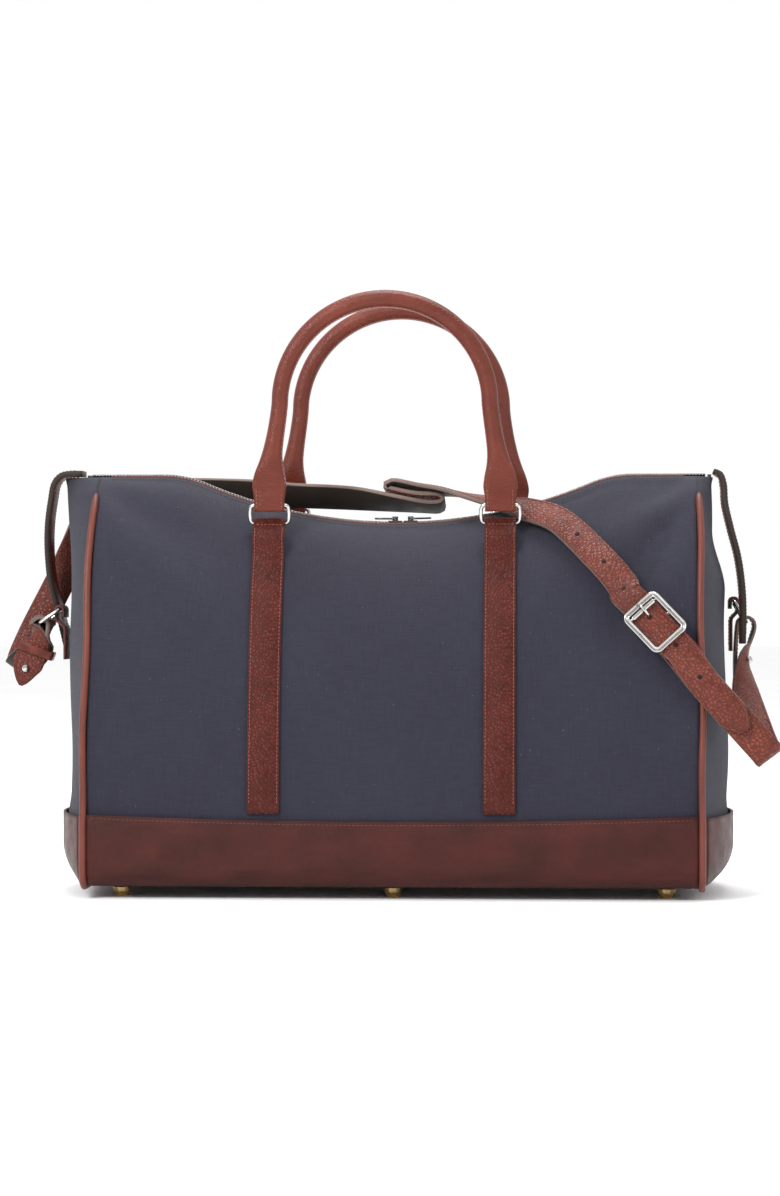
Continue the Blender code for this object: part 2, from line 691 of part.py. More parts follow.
def long_strap_stations(buckle):
    across_end = (0.94, 0.0, -0.35)
    twist = (0.70, -0.70, -0.20)
    stations = [((-0.3065, -0.0115, 0.1640), across_end),
                (LEFT_STUD, across_end),
                ((-0.2970, -0.0113, 0.1895), across_end),
                ((-0.2950, -0.0113, 0.1968), across_end),
                ((-0.2948, -0.0106, 0.2045), twist)]
    stations += ring_loop((-0.2893, -0.008, 0.2128), 0.0070, (190, 145, 90, 35, -10), (0.0, -1.0, 0.0))
    rise = (0.886, 0.0, -0.466)
    fold = (0.82, 0.0, -0.57)
    stations += [((-0.2876, -0.0048, 0.2045), twist),
                 ((-0.2925, -0.0044, 0.1968), across_end),
                 ((-0.2962, -0.0043, 0.1905), across_end),
                 ((-0.3020, -0.0040, 0.1850), (0.90, 0.0, -0.43)),
                 ((-0.3085, -0.0010, 0.1798), fold),
                 ((-0.3107, 0.0050, 0.1775), fold),
                 ((-0.3100, 0.0110, 0.1800), fold),
                 ((-0.3085, 0.0180, 0.1885), rise),
                 ((-0.3020, 0.0320, 0.2080), rise),
                 ((-0.2940, 0.0395, 0.2260), rise),
                 ((-0.2819, 0.0425, 0.2505), rise),
                 ((-0.2690, 0.0440, 0.2800), (0.80, 0.35, -0.45)),
                 ((-0.2590, 0.0475, 0.3060), (0.50, 0.75, -0.45)),
                 ((-0.2430, 0.0500, 0.3190), (0.15, 0.78, -0.60)),
                 ((-0.2150, 0.0490, 0.3215), (0.0, 0.76, -0.65)),
                 ((-0.1800, 0.0460, 0.3228), (0.0, 0.50, -0.87)),
                 ((-0.1400, 0.0400, 0.3220), (0.0, 0.50, -0.87)),
                 ((-0.1100, 0.0305, 0.3208), (0.0, 0.60, -0.80)),
                 ((-0.0850, 0.0260, 0.3190), (0.0, 0.68, -0.73)),
                 ((-0.0400, 0.0215, 0.3168), (0.0, 0.72, -0.69)),
                 ((-0.0050, 0.0200, 0.3128), (0.0, 0.88, -0.47))]
    flat = (0.0, 0.95, -0.31)
    stations += [((0.0180, 0.0200, 0.3100), flat),
                 ((0.0320, 0.0200, 0.3096), flat),
                 ((0.0358, 0.0207, 0.3128), flat),
                 ((0.0320, 0.0214, 0.3160), flat),
                 ((0.0140, 0.0216, 0.3168), flat),
                 ((-0.0060, 0.0220, 0.3195), (0.0, 0.90, -0.43)),
                 ((-0.0100, 0.0226, 0.3228), (0.0, 0.90, -0.43)),
                 ((-0.0050, 0.0226, 0.3262), (0.0, 0.90, -0.43)),
                 ((0.0160, 0.0216, 0.3236), flat),
                 ((0.0400, 0.0120, 0.3215), (0.35, 0.90, -0.15)),
                 ((0.0620, -0.0080, 0.3165), (0.60, 0.80, 0.0)),
                 ((0.0830, -0.0260, 0.3115), (0.45, 0.82, 0.25)),
                 ((0.1040, -0.0365, 0.3060), (0.38, 0.66, 0.60))]
    down_front = Vector((0.667, 0.0, -0.745))
    stations += [laid(0.1313, 0.2927, -1, 0.0048, Vector((0.85, 0.0, -0.50))),
                 laid(0.1628, 0.2633, -1, 0.0056, down_front),
                 laid(0.1790, 0.2440, -1, 0.0074, down_front)]
    frame_across = buckle.col[1].to_3d()
    stations.append((buckle @ Vector((-0.033, 0.0, -0.0016)), frame_across))
    for run in (-0.024, 0.0, 0.024, 0.033):
        stations.append((buckle @ Vector((run, 0.0, 0.0)), frame_across))
    front = -0.1122
    stations += [((0.2408, front, 0.1712), FRONT_ACROSS),
                 ((0.2580, front, 0.1516), FRONT_ACROSS),
                 ((0.2755, front, 0.1315), FRONT_ACROSS)]
    return stations


def short_strap_stations(buckle):
    sideways = (0.0, 1.0, 0.0)
    stations = [((0.2727, 0.0130, 0.1640), sideways),
                ((0.2729, 0.0130, 0.1900), sideways)]
    stations += ring_loop((0.2813, 0.0130, 0.2128), 0.0070, (185, 135, 90, 45, -5), sideways)
    stations += [((0.2850, 0.0110, 0.2000), sideways),
                 (RIGHT_STUD, (0.25, 0.96, 0.10)),
                 ((0.2800, -0.0300, 0.1560), (0.62, 0.72, 0.30)),
                 ((0.2850, -0.0680, 0.1320), (0.75, 0.35, 0.50)),
                 ((0.2905, -0.0940, 0.1160), (0.80, 0.0, 0.60)),
                 ((0.2938, -0.0985, 0.1125), (0.80, 0.0, 0.60)),
                 ((0.2935, -0.1035, 0.1128), (0.80, 0.0, 0.60)),
                 ((0.2890, -0.1073, 0.1175), (0.77, 0.0, 0.64)),
                 ((0.2755, -0.1078, 0.1325), FRONT_ACROSS),
                 ((0.2580, -0.1078, 0.1520), FRONT_ACROSS),
                 ((0.2408, -0.1076, 0.1712), FRONT_ACROSS)]
    across = buckle.col[1].to_3d()
    low = -BAR_DROP - 0.00305
    stations.append((buckle @ Vector((0.026, 0.0, low)), across))
    stations.append((buckle @ Vector((0.008, 0.0, low)), across))
    for degrees in (270, 225, 180, 135, 90):
        angle = math.radians(degrees)
        spot = Vector((0.00305 * math.cos(angle), 0.0, -BAR_DROP + 0.00305 * math.sin(angle)))
        stations.append((buckle @ spot, across))
    for run in (0.008, 0.026):
        stations.append((buckle @ Vector((run, 0.0, -BAR_DROP + 0.00305)), across))
    return stations


def make_straps(bag, buckle):
    path = smooth_path(long_strap_stations(buckle))
    widths = tongue(path, STRAP_HALF, 0.012, (0, 1))
    strap = attach(strip("shoulder_strap", path, widths, STRAP_THICK, STRAP_LEATHER), bag)

    out = buckle.col[2].to_3d()
    pin = buckle @ Vector((PRONG_HOLE, 0.0, 0.0))
    spots = [pin] + [nearest(path, pin, hand * k * HOLE_STEP) for hand, k in ((-1, 1), (-1, 2), (-1, 3), (1, 1), (1, 2))]
    for index, spot in enumerate(spots):
        axis = out if index == 0 else surface_out(path, spot)
        drill = cutter(f"strap_hole_{index}", rod_shape(spot, axis, 0.0020, 0.009))
        combine(strap, drill, 'DIFFERENCE')

    path = smooth_path(short_strap_stations(buckle))
    widths = tongue(path, STRAP_HALF, 0.010, (0,))
    short = attach(strip("buckle_strap", path, widths, SHORT_THICK, STRAP_LEATHER), bag)
    slot = cutter("prong_slot", box_shape((0.0120, 0.0034, 0.0110), buckle @ Matrix.Translation((-0.0008, 0.0, -0.0072))))
    combine(short, slot, 'DIFFERENCE')
    return strap, short


def nearest(path, start, run):
    """Point on a path at a distance along it from the point nearest to the start."""
    index = min(range(len(path)), key=lambda i: (path[i][0] - start).length)
    step = 1 if run > 0 else -1
    left = abs(run)
    place = start
    index += step
    while left > 0.0:
        gap = path[index][0] - place
        if gap.length >= left:
            return place + gap.normalized() * left
        left -= gap.length
        place = path[index][0]
        index += step
    return place


def surface_out(path, spot):
    index = min(range(1, len(path) - 1), key=lambda i: (path[i][0] - spot).length)
    heading = (path[index + 1][0] - path[index - 1][0]).normalized()
    return path[index][1].cross(heading).normalized()


def make_buckle(bag, buckle):
    level = 0.0043
    curve = bpy.data.curves.new("buckle_frame", 'CURVE')
    curve.dimensions = '2D'
    curve.fill_mode = 'BOTH'
    curve.extrude = 0.0014
    for half_x, half_y, corner in ((0.0205, 0.0175, 0.0050), (0.01575, 0.0130, 0.0025)):
        spline = curve.splines.new('POLY')
        outline = []
        for quarter, (cx, cy) in enumerate(((1, 1), (-1, 1), (-1, -1), (1, -1))):
            for step in range(4):
                angle = math.radians(90.0 * quarter + 30.0 * step)
                outline.append((cx * (half_x - corner) + corner * math.cos(angle),
                                cy * (half_y - corner) + corner * math.sin(angle)))
        spline.points.add(len(outline) - 1)
        for knot, (px, py) in zip(spline.points, outline):
            knot.co = (px, py, 0.0, 1.0)
        spline.use_cyclic_u = True
    flat = bpy.data.objects.new("buckle_outline", curve)
    CUTTERS.objects.link(flat)
    bpy.context.view_layer.update()
    mesh = bpy.data.meshes.new_from_object(flat)
    bpy.data.objects.remove(flat, do_unlink=True)
    shape = bmesh.new()
    shape.from_mesh(mesh)
    bmesh.ops.remove_doubles(shape, verts=shape.verts, dist=1e-6)
    shape.transform(Matrix.Translation((0.0, 0.0, level)))
    shape.to_mesh(mesh)
    shape.free()
    mesh.name = "buckle_frame"
    mesh.materials.clear()
    frame = add("buckle_frame", mesh, NICKEL)
    bar = cutter("buckle_bar", rod_shape((0.0, 0.0, -BAR_DROP), (0.0, 1.0, 0.0), WIRE, 0.0324, 12))
    combine(frame, bar, 'UNION')
    for hand in (-1, 1):
        post = cutter(f"buckle_post_{hand + 1}", box_shape((0.0038, 0.0027, 0.0124),
                                                         Matrix.Translation((0.0, hand * 0.0152, -0.00235))))
        combine(frame, post, 'UNION')
    pin = cutter("roller_pin", rod_shape((-0.0134, 0.0, level), (0.0, 1.0, 0.0), 0.0010, 0.0290, 12))
    combine(frame, pin, 'UNION')
    for piece in [frame] + [obj for obj in CUTTERS.objects if obj.name.startswith(("buckle_", "roller_"))]:
        piece.parent = bag
        piece.matrix_local = buckle

    roller = turned("buckle_roller", [(0.0013, 0.011), (0.0020, 0.011), (0.0020, -0.011), (0.0013, -0.011)],
                    NICKEL, 12, hollow=True)
    spin = group("roller_body", buckle @ Vector((-0.0134, 0.0, level)), bag)
    roller.parent = spin
    roller.matrix_local = buckle.to_3x3().to_4x4() @ Matrix.Rotation(math.radians(90.0), 4, 'X')

    points = []
    for degrees in (-160, -110, -60, -10, 40, 90, 140, 175):
        angle = math.radians(degrees)
        points.append(Vector((0.0028 * math.cos(angle), 0.0, -BAR_DROP + 0.0028 * math.sin(angle))))
    points += [Vector((-0.0052, 0.0, -0.0036)), Vector((-0.0066, 0.0, -0.0014)), Vector((-0.0067, 0.0, 0.0018)),
               Vector((-0.0076, 0.0, 0.0052)), Vector((-0.0110, 0.0, 0.0078)), Vector((-0.0168, 0.0, 0.0078))]
    prong = tube("buckle_prong", [buckle @ point for point in points], 0.0010, NICKEL)
    attach(prong, group("prong_body", buckle @ Vector((0.0, 0.0, -BAR_DROP)), bag))


def make_end_fittings(bag):
    """Side rings with their leather hangers, and the leather tabs on the zip's ends."""
    for name, side, pivot, dip in (("left", -1, LEFT_RING_PIVOT, 33.0), ("right", 1, RIGHT_RING_PIVOT, 60.0)):
        pivot = Vector(pivot)
        s = pivot.y / 0.095
        t_foot = min((k / 400.0 for k in range(400)), key=lambda t: abs(end_wall(s, t, side).z - pivot.z))
        foot = end_wall(0.0, t_foot, side, 0.0011)
        foot.y = pivot.y
        gap_out = abs(pivot.x - foot.x)
        normal = Vector((side, 0.0, 0.0))
        down = Vector((0.0, 0.0, -1.0))
        points = []
        for k in range(9):
            run = 0.040 * (1.0 - k / 9.0)
            points.append((Vector((foot.x, foot.y, pivot.z - run)), normal, run, gap_out))
        path = hanger_path(pivot, normal, down, points, 0.006, 0.008)
        hanger = strip(name + "_side_chape", [(p, Vector((0.0, 1.0, 0.0))) for p in path],
                       [CHAPE_HALF] * len(path), LEATHER, TRIM_LEATHER)
        attach(hanger, bag)

        angle = math.radians(dip)
        aim = Vector((side * math.cos(angle), 0.0, -math.sin(angle)))
        outline = ((0.0, -0.0134), (0.0012, -0.0152), (0.0060, -0.0156), (0.0130, -0.0156), (0.0170, -0.0145),
                   (0.0187, -0.0118), (0.0195, -0.0050))
        loop = [pivot + aim * run + Vector((0.0, y, 0.0)) for run, y in outline]
        loop += [pivot + aim * run - Vector((0.0, y, 0.0)) for run, y in reversed(outline)]
        ring = tube(name + "_side_ring", loop, WIRE, NICKEL, cyclic=True)
        attach(ring, group(name + "_side_ring_body", pivot, bag))

    tabs = (("left", LEFT_TAB_PIVOT, ((-0.2560, 0.0, 0.3360), (-0.2640, 0.0, 0.3360), (-0.2730, 0.0, 0.3345),
                                      (-0.2790, 0.0, 0.3280), (-0.2822, 0.003, 0.3150), (-0.2855, 0.008, 0.2960),
                                      (-0.2868, 0.014, 0.2750), (-0.2855, 0.020, 0.2500), (-0.2800, 0.0235, 0.2260),
                                      (-0.2718, 0.0235, 0.1915))),
            ("right", RIGHT_TAB_PIVOT, ((0.2560, 0.0, 0.3360), (0.2600, -0.001, 0.3335), (0.2625, -0.003, 0.3250),
                                        (0.2635, -0.006, 0.3100), (0.2678, -0.011, 0.2900), (0.2737, -0.016, 0.2650),
                                        (0.2768, -0.0205, 0.2350), (0.2768, -0.0215, 0.1985))))
    for name, pivot, places in tabs:
        path = smooth_path([(place, (0.0, 1.0, 0.0)) for place in places])
        tab = strip(name + "_zip_tab", path, [STRAP_HALF] * len(path), 0.0046, STRAP_LEATHER)
        attach(tab, group(name + "_zip_tab_body", pivot, bag))


def make_keeper(bag):
    """Leather loop that holds the two layers of the strap's left end together."""
    across = Vector((0.94, 0.0, -0.35)).normalized()
    out = Vector((0.0, 1.0, 0.0))
    along = across.cross(out).normalized()
    middle = Vector((-0.2952, -0.0079, 0.1928))
    corners = []
    for cx, cy in ((1, 1), (-1, 1), (-1, -1), (1, -1)):
        base = middle + across * cx * 0.0138 + out * cy * 0.0056
        sweep = (0.0, 45.0, 90.0) if cx * cy > 0 else (90.0, 45.0, 0.0)
        for degrees in sweep:
            angle = math.radians(degrees)
            corners.append(base + across * cx * 0.0018 * math.cos(angle) + out * cy * 0.0018 * math.sin(angle))
    corners.append(corners[0])
    path = [(corner, along) for corner in corners]
    keeper = strip("strap_keeper", path, [0.0034] * len(path), 0.0014, TRIM_LEATHER, closed=True)
    attach(keeper, bag)


def make_studs(bag, strap, short, buckle):
    """Screw studs: a domed head outside, a shank through the strap and a flat washer behind."""
    places = (("left_strap_stud", strap, LEFT_STUD, long_strap_stations(buckle), STRAP_THICK, 0.0006),
              ("right_strap_stud", short, RIGHT_STUD, short_strap_stations(buckle), SHORT_THICK, 0.0020))
    for name, leather, spot, stations, thick, gap in places:
        spot = Vector(spot)
        axis = surface_out(smooth_path(stations), spot)
        if axis.y > 0.0:
            axis = -axis
        half = 0.5 * thick
        top = half + gap
        profile = [(0.0, top + 0.0021), (0.0016, top + 0.0019), (0.0029, top + 0.0009), (0.0032, top),
                   (0.0010, top), (0.0010, -top), (0.0026, -top), (0.0026, -top - 0.0007), (0.0, -top - 0.0007)]
        stud = turned(name, profile, NICKEL, 12)
        turn = Vector((0.0, 0.0, 1.0)).rotation_difference(axis).to_matrix().to_4x4()
        stud.parent = bag
        stud.matrix_local = Matrix.Translation(spot) @ turn
        drill = cutter(name + "_hole", rod_shape(spot, axis, 0.0019, 0.009, 12))
        combine(leather, drill, 'DIFFERENCE')


def main():
    bag = group("bag", BAG_MIDDLE)
    make_body(bag)
    make_feet(bag)
    make_zip(bag)
    make_sliders(bag)
    make_handles(bag)
    buckle = buckle_frame()
    strap, short = make_straps(bag, buckle)
    make_buckle(bag, buckle)
    make_end_fittings(bag)
    make_keeper(bag)
    make_studs(bag, strap, short, buckle)


main()
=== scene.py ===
"""Looks of the weekender bag: canvas shells, leather, stitching, zip teeth and polished metal.

Metres, +Z up. Shapes are written in the bag's own frame, whose middle is MIDDLE in the row frame.
"""
import math

import bmesh
import bpy
from mathutils import Matrix, Vector, noise


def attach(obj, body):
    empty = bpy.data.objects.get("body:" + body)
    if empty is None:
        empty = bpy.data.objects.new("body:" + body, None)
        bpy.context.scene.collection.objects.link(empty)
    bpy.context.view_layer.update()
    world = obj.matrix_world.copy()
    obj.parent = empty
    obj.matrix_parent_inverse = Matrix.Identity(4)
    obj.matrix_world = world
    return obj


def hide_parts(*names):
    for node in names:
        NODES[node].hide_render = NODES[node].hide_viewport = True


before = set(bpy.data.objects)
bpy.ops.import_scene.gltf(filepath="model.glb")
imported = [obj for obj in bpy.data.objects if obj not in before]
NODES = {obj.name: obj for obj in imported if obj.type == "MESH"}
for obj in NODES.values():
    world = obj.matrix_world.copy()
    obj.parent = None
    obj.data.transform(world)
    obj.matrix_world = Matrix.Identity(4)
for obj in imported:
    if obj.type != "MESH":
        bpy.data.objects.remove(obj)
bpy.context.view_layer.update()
MIDDLE = Vector((0.00885, 0.0, 0.0))

# ---------------------------------------------------------------- camera and light

scene = bpy.context.scene
scene.view_settings.view_transform = 'Standard'
scene.view_settings.look = 'None'

TURN = math.radians(3.0)
RIGHT = Vector((math.cos(TURN), math.sin(TURN), 0.0))
AHEAD = Vector((-math.sin(TURN), math.cos(TURN), 0.0))
camera_data = bpy.data.cameras.new("camera")
camera_data.lens = 96.5
camera_data.sensor_width = 36.0
camera = bpy.data.objects.new("camera", camera_data)
camera.location = MIDDLE + Vector((0.0, 0.0, 0.235)) - 2.6 * AHEAD - 0.0066 * RIGHT
camera.rotation_euler = (math.radians(90.0), 0.0, TURN)
scene.collection.objects.link(camera)
scene.camera = camera

world = bpy.data.worlds.new("studio")
world.use_nodes = True
world.node_tree.nodes["Background"].inputs["Color"].default_value = (1.0, 1.0, 1.0, 1.0)
world.node_tree.nodes["Background"].inputs["Strength"].default_value = 1.0
scene.world = world


def soft_light(name, place, target, width, height, power):
    data = bpy.data.lights.new(name, 'AREA')
    data.shape = 'RECTANGLE'
    data.size = width
    data.size_y = height
    data.energy = power
    lamp = bpy.data.objects.new(name, data)
    lamp.location = place
    lamp.rotation_euler = (Vector(target) - Vector(place)).to_track_quat('-Z', 'Y').to_euler()
    scene.collection.objects.link(lamp)


soft_light("key", (-1.3, -1.9, 1.7), (0.0, 0.0, 0.25), 0.9, 0.9, 60.0)
soft_light("fill", (1.7, -1.5, 0.9), (0.0, 0.0, 0.2), 1.0, 1.4, 10.0)
soft_light("top", (0.1, 0.3, 2.2), (0.0, 0.0, 0.2), 1.4, 0.8, 44.0)


# ---------------------------------------------------------------- materials

def srgb(red, green, blue):
    """Linear colour of a display colour from 0 to 255."""
    parts = []
    for value in (red, green, blue):
        value /= 255.0
        parts.append(value / 12.92 if value <= 0.04045 else ((value + 0.055) / 1.055) ** 2.4)
    return (*parts, 1.0)


class Look:
    """A material under construction: nodes are added left to right and end in its shader."""

    def __init__(self, name, coords="UV"):
        self.made = bpy.data.materials.new(name)
        self.made.use_nodes = True
        self.tree = self.made.node_tree
        self.shader = self.tree.nodes["Principled BSDF"]
        source = self.tree.nodes.new("ShaderNodeTexCoord")
        self.place = source.outputs[coords]

    def node(self, kind, **settings):
        made = self.tree.nodes.new(kind)
        for key, value in settings.items():
            setattr(made, key, value)
        return made

    def link(self, out, socket):
        self.tree.links.new(out, socket)

    def stretch(self, x, y, z):
        mapping = self.node("ShaderNodeMapping")
        mapping.inputs["Scale"].default_value = (x, y, z)
        self.link(self.place, mapping.inputs["Vector"])
        return mapping.outputs["Vector"]

    def cloud(self, scale, detail=2.0, vector=None):
        made = self.node("ShaderNodeTexNoise")
        made.inputs["Scale"].default_value = scale
        made.inputs["Detail"].default_value = detail
        self.link(vector or self.place, made.inputs["Vector"])
        return made.outputs["Fac"]

    def span(self, value, low, high, to_low=0.0, to_high=1.0):
        made = self.node("ShaderNodeMapRange", clamp=True)
        made.inputs["From Min"].default_value = low
        made.inputs["From Max"].default_value = high
        made.inputs["To Min"].default_value = to_low
        made.inputs["To Max"].default_value = to_high
        self.link(value, made.inputs["Value"])
        return made.outputs["Result"]

    def math(self, how, first, second):
        made = self.node("ShaderNodeMath", operation=how)
        for socket, value in zip(made.inputs, (first, second)):
            if isinstance(value, (int, float)):
                socket.default_value = value
            else:
                self.link(value, socket)
        return made.outputs["Value"]

    def mix(self, share, first, second, how='MIX'):
        made = self.node("ShaderNodeMix", data_type='RGBA', blend_type=how)
        for socket, value in ((made.inputs[0], share), (made.inputs[6], first), (made.inputs[7], second)):
            if isinstance(value, (int, float, tuple)):
                socket.default_value = value
            else:
                self.link(value, socket)
        return made.outputs[2]

    def bump(self, height, distance, before=None, strength=1.0):
        made = self.node("ShaderNodeBump")
        made.inputs["Strength"].default_value = strength
        made.inputs["Distance"].default_value = distance
        self.link(height, made.inputs["Height"])
        if before is not None:
            self.link(before, made.inputs["Normal"])
        return made.outputs["Normal"]

    def finish(self, colour, rough, normal=None, metallic=0.0, sheen=0.0, specular=0.5):
        shader = self.shader
        if isinstance(colour, tuple):
            shader.inputs["Base Color"].default_value = colour
        else:
            self.link(colour, shader.inputs["Base Color"])
        if isinstance(rough, float):
            shader.inputs["Roughness"].default_value = rough
        else:
            self.link(rough, shader.inputs["Roughness"])
        if normal is not None:
            self.link(normal, shader.inputs["Normal"])
        shader.inputs["Metallic"].default_value = metallic
        shader.inputs["Specular IOR Level"].default_value = specular
        if sheen:
            shader.inputs["Sheen Weight"].default_value = sheen
            shader.inputs["Sheen Roughness"].default_value = 0.5
        return self.made


def woven(name, dark, light, thread, coords="UV", sheen=0.0, specks=0.0, relief=0.00022):
    """Plain weave: crossing threads with painted shade in the gaps between them, slubs, soft mottling and a
    few pale specks of lint.
    """
    look = Look(name, coords)
    bands = []
    for direction in ('X', 'Y'):
        wave = look.node("ShaderNodeTexWave", wave_type='BANDS', bands_direction=direction)
        wave.inputs["Scale"].default_value = 2.0 * math.pi / (20.0 * thread)
        wave.inputs["Distortion"].default_value = 1.2
        wave.inputs["Detail"].default_value = 1.0
        wave.inputs["Detail Scale"].default_value = 0.35
        look.link(look.place, wave.inputs["Vector"])
        bands.append(wave.outputs["Fac"])
    weave = look.math('MULTIPLY', bands[0], bands[1])
    slubs = look.math('ADD', look.cloud(1.0, 2.0, look.stretch(900.0, 70.0, 300.0)),
                      look.cloud(1.0, 2.0, look.stretch(70.0, 900.0, 300.0)))
    mottle = look.cloud(7.0, 5.0)
    share = look.math('ADD', look.span(slubs, 0.72, 1.28, 0.0, 0.6), look.span(mottle, 0.3, 0.7, 0.0, 0.4))
    colour = look.mix(share, dark, light)
    # painted shade: the gaps between the threads are mixed towards near black
    colour = look.mix(look.span(weave, 0.0, 0.6, 0.35, 0.0), colour, (0.010, 0.010, 0.014, 1.0))
    if specks:
        lint = look.span(look.cloud(420.0, 1.0), 0.745, 0.80, 0.0, specks)
        colour = look.mix(lint, colour, srgb(150, 150, 160))
    normal = look.bump(weave, relief)
    normal = look.bump(slubs, relief, normal)
    normal = look.bump(look.cloud(26.0, 3.0), 0.0022, normal, 0.45)
    return look.finish(colour, 0.88, normal, 0.0, sheen, 0.25)


def hide(name, deep, pale, cell, relief, rough, coords="UV", scuff=0.0, crease_shade=0.55,
         shine=0.28):
    """Leather: pebbles with painted shade darkening the creases between them, tone that wanders, and rubbed
    high spots.
    """
    look = Look(name, coords)
    wander = look.node("ShaderNodeVectorMath", operation='SCALE')
    tilt = look.node("ShaderNodeTexNoise")
    tilt.inputs["Scale"].default_value = 0.5 / cell
    look.link(look.place, tilt.inputs["Vector"])
    look.link(tilt.outputs["Color"], wander.inputs[0])
    wander.inputs["Scale"].default_value = 0.9 * cell
    bent = look.node("ShaderNodeVectorMath", operation='ADD')
    look.link(look.place, bent.inputs[0])
    look.link(wander.outputs["Vector"], bent.inputs[1])
    pebbles = look.node("ShaderNodeTexVoronoi", feature='DISTANCE_TO_EDGE')
    pebbles.inputs["Scale"].default_value = 1.0 / cell
    look.link(bent.outputs["Vector"], pebbles.inputs["Vector"])
    raised = look.span(pebbles.outputs["Distance"], 0.02, 0.34)
    mottle = look.cloud(22.0, 5.0)
    colour = look.mix(look.span(mottle, 0.3, 0.7), deep, pale)
    # painted shade: the creases between the pebbles are mixed towards a darker copy of the leather
    dark = tuple(0.45 * part for part in deep[:3]) + (1.0,)
    colour = look.mix(look.span(raised, 0.0, 1.0, crease_shade, 0.0), colour, dark)
    if scuff:
        rubbed = look.span(look.cloud(1.0, 6.0, look.stretch(26.0, 90.0, 26.0)), 0.52, 0.75, 0.0, scuff)
        colour = look.mix(rubbed, colour, tuple(min(1.6 * part, 1.0) for part in pale[:3]) + (1.0,))
    normal = look.bump(raised, relief)
    normal = look.bump(look.cloud(2600.0, 2.0), 0.00005, normal, 0.6)
    normal = look.bump(look.cloud(45.0, 3.0), 0.0008, normal, 0.35)
    gloss = look.span(look.cloud(60.0, 4.0), 0.3, 0.7, rough - 0.07, rough + 0.08)
    return look.finish(colour, gloss, normal, 0.0, 0.0, shine)


def metal(name, colour, rough, coords="Object", marks=0.25):
    """Plated metal with fine wear in its gloss and a little unevenness in its tone."""
    look = Look(name, coords)
    worn = look.cloud(260.0, 5.0)
    tone = look.mix(look.span(look.cloud(90.0, 3.0), 0.35, 0.65, 0.0, marks), colour,
                    tuple(0.55 * part for part in colour[:3]) + (1.0,))
    gloss = look.span(worn, 0.35, 0.65, rough * 0.7, rough * 1.35)
    normal = look.bump(worn, 0.00003, None, 0.5)
    return look.finish(tone, gloss, normal, 1.0)


def thread_look(name, colour):
    look = Look(name, "Object")
    twist = look.cloud(2400.0, 2.0)
    shade = look.mix(look.span(twist, 0.3, 0.7), colour, tuple(0.6 * part for part in colour[:3]) + (1.0,))
    return look.finish(shade, 0.6, look.bump(twist, 0.00006))


CANVAS = woven("canvas_cloth", srgb(30, 29, 42), srgb(44, 43, 58), 0.00075, sheen=0.08, specks=0.16)
CANVAS_INSIDE = woven("canvas_inside", srgb(40, 42, 54), srgb(56, 58, 72), 0.00075)
LINING = woven("lining_twill", srgb(98, 84, 70), srgb(122, 106, 88), 0.0006)
TAPE = woven("tape_cloth", srgb(22, 21, 23), srgb(40, 38, 40), 0.0005)
BOARD = woven("fibre_board", srgb(74, 66, 58), srgb(96, 86, 76), 0.0012, coords="Object")
BASE_HIDE = hide("base_hide", srgb(49, 20, 16), srgb(72, 30, 25), 0.0014, 0.00014, 0.40, scuff=0.14,
                 crease_shade=0.35, shine=0.14)
TRIM_HIDE = hide("trim_hide", srgb(66, 23, 16), srgb(96, 38, 28), 0.0027, 0.00030, 0.42, crease_shade=0.78,
                 shine=0.13)
STRAP_HIDE = hide("strap_hide", srgb(88, 36, 26), srgb(122, 58, 44), 0.0029, 0.00036, 0.40, crease_shade=0.78,
                  shine=0.20)
HANDLE_HIDE = hide("handle_hide", srgb(82, 33, 23), srgb(110, 48, 34), 0.0014, 0.00012, 0.30, crease_shade=0.30,
                   shine=0.22)
PIPING_HIDE = hide("piping_hide", srgb(82, 37, 28), srgb(108, 52, 40), 0.0010, 0.00006, 0.38, crease_shade=0.2)
BACKING = hide("strap_backing", srgb(34, 27, 23), srgb(48, 39, 33), 0.0009, 0.00008, 0.62, crease_shade=0.25)
RAW_EDGE = hide("raw_edge", srgb(96, 80, 74), srgb(120, 102, 94), 0.0006, 0.00008, 0.7, crease_shade=0.3)
DARK_EDGE = hide("dark_edge", srgb(70, 36, 30), srgb(90, 48, 40), 0.0006, 0.00005, 0.5, crease_shade=0.2)
NICKEL = metal("polished_nickel", (0.50, 0.485, 0.47, 1.0), 0.17, marks=0.25)
# dark plated metal for the zip sliders, stops and pulls, made darker still to paint in the dark reflections
# they show
DARK_ZIP_METAL = metal("dark_zip_metal", (0.085, 0.082, 0.082, 1.0), 0.28)
TEETH = metal("zip_teeth", (0.22, 0.215, 0.21, 1.0), 0.32)
BRASS = metal("aged_brass", (0.62, 0.43, 0.19, 1.0), 0.26, marks=0.4)
RED_THREAD = thread_look("red_thread", srgb(150, 84, 70))
NAVY_THREAD = thread_look("navy_thread", srgb(48, 50, 64))
BROWN_THREAD = thread_look("brown_thread", srgb(92, 52, 44))


# ---------------------------------------------------------------- shapes shared with the frame

HALF_LENGTH = 0.241
HALF_DEPTH = 0.110
BAND_TOP = 0.064
BASE_DEPTH = 0.1127
BASE_BOTTOM = 0.0092
BASE_CORNER = 0.014
END_SWELL = 0.0255
PIPING_RADIUS = 0.00275
ZIP_LOW = 0.2955
ZIP_EDGE = 0.013
SAG_RADIUS = 0.400
SAG_HALF = 0.155
LEVEL_RUN = 0.035
FRONT_HANDLE_X = -0.008
BACK_HANDLE_X = 0.0
RING_REACH = 0.0919
LOWER_BAR = (0.0515, 0.2947)
UPPER_BAR = (0.0545, 0.3086)
WIRE = 0.0015
STRAP_HALF = 0.0125
LEATHER = 0.0022
STRAP_THICK = 0.0040
SHORT_THICK = 0.0024
STRAP_SEAM = 0.0022
TRIM_SEAM = 0.0016
DEEPEST_FOLD = 0.0046
STRAP_STITCH = (0.0030, 0.0021, 0.00026)
TRIM_STITCH = (0.0030, 0.0021, 0.00024)


def smooth_step(value, low, high):
    part = min(max((value - low) / (high - low), 0.0), 1.0)
    return part * part * (3.0 - 2.0 * part)


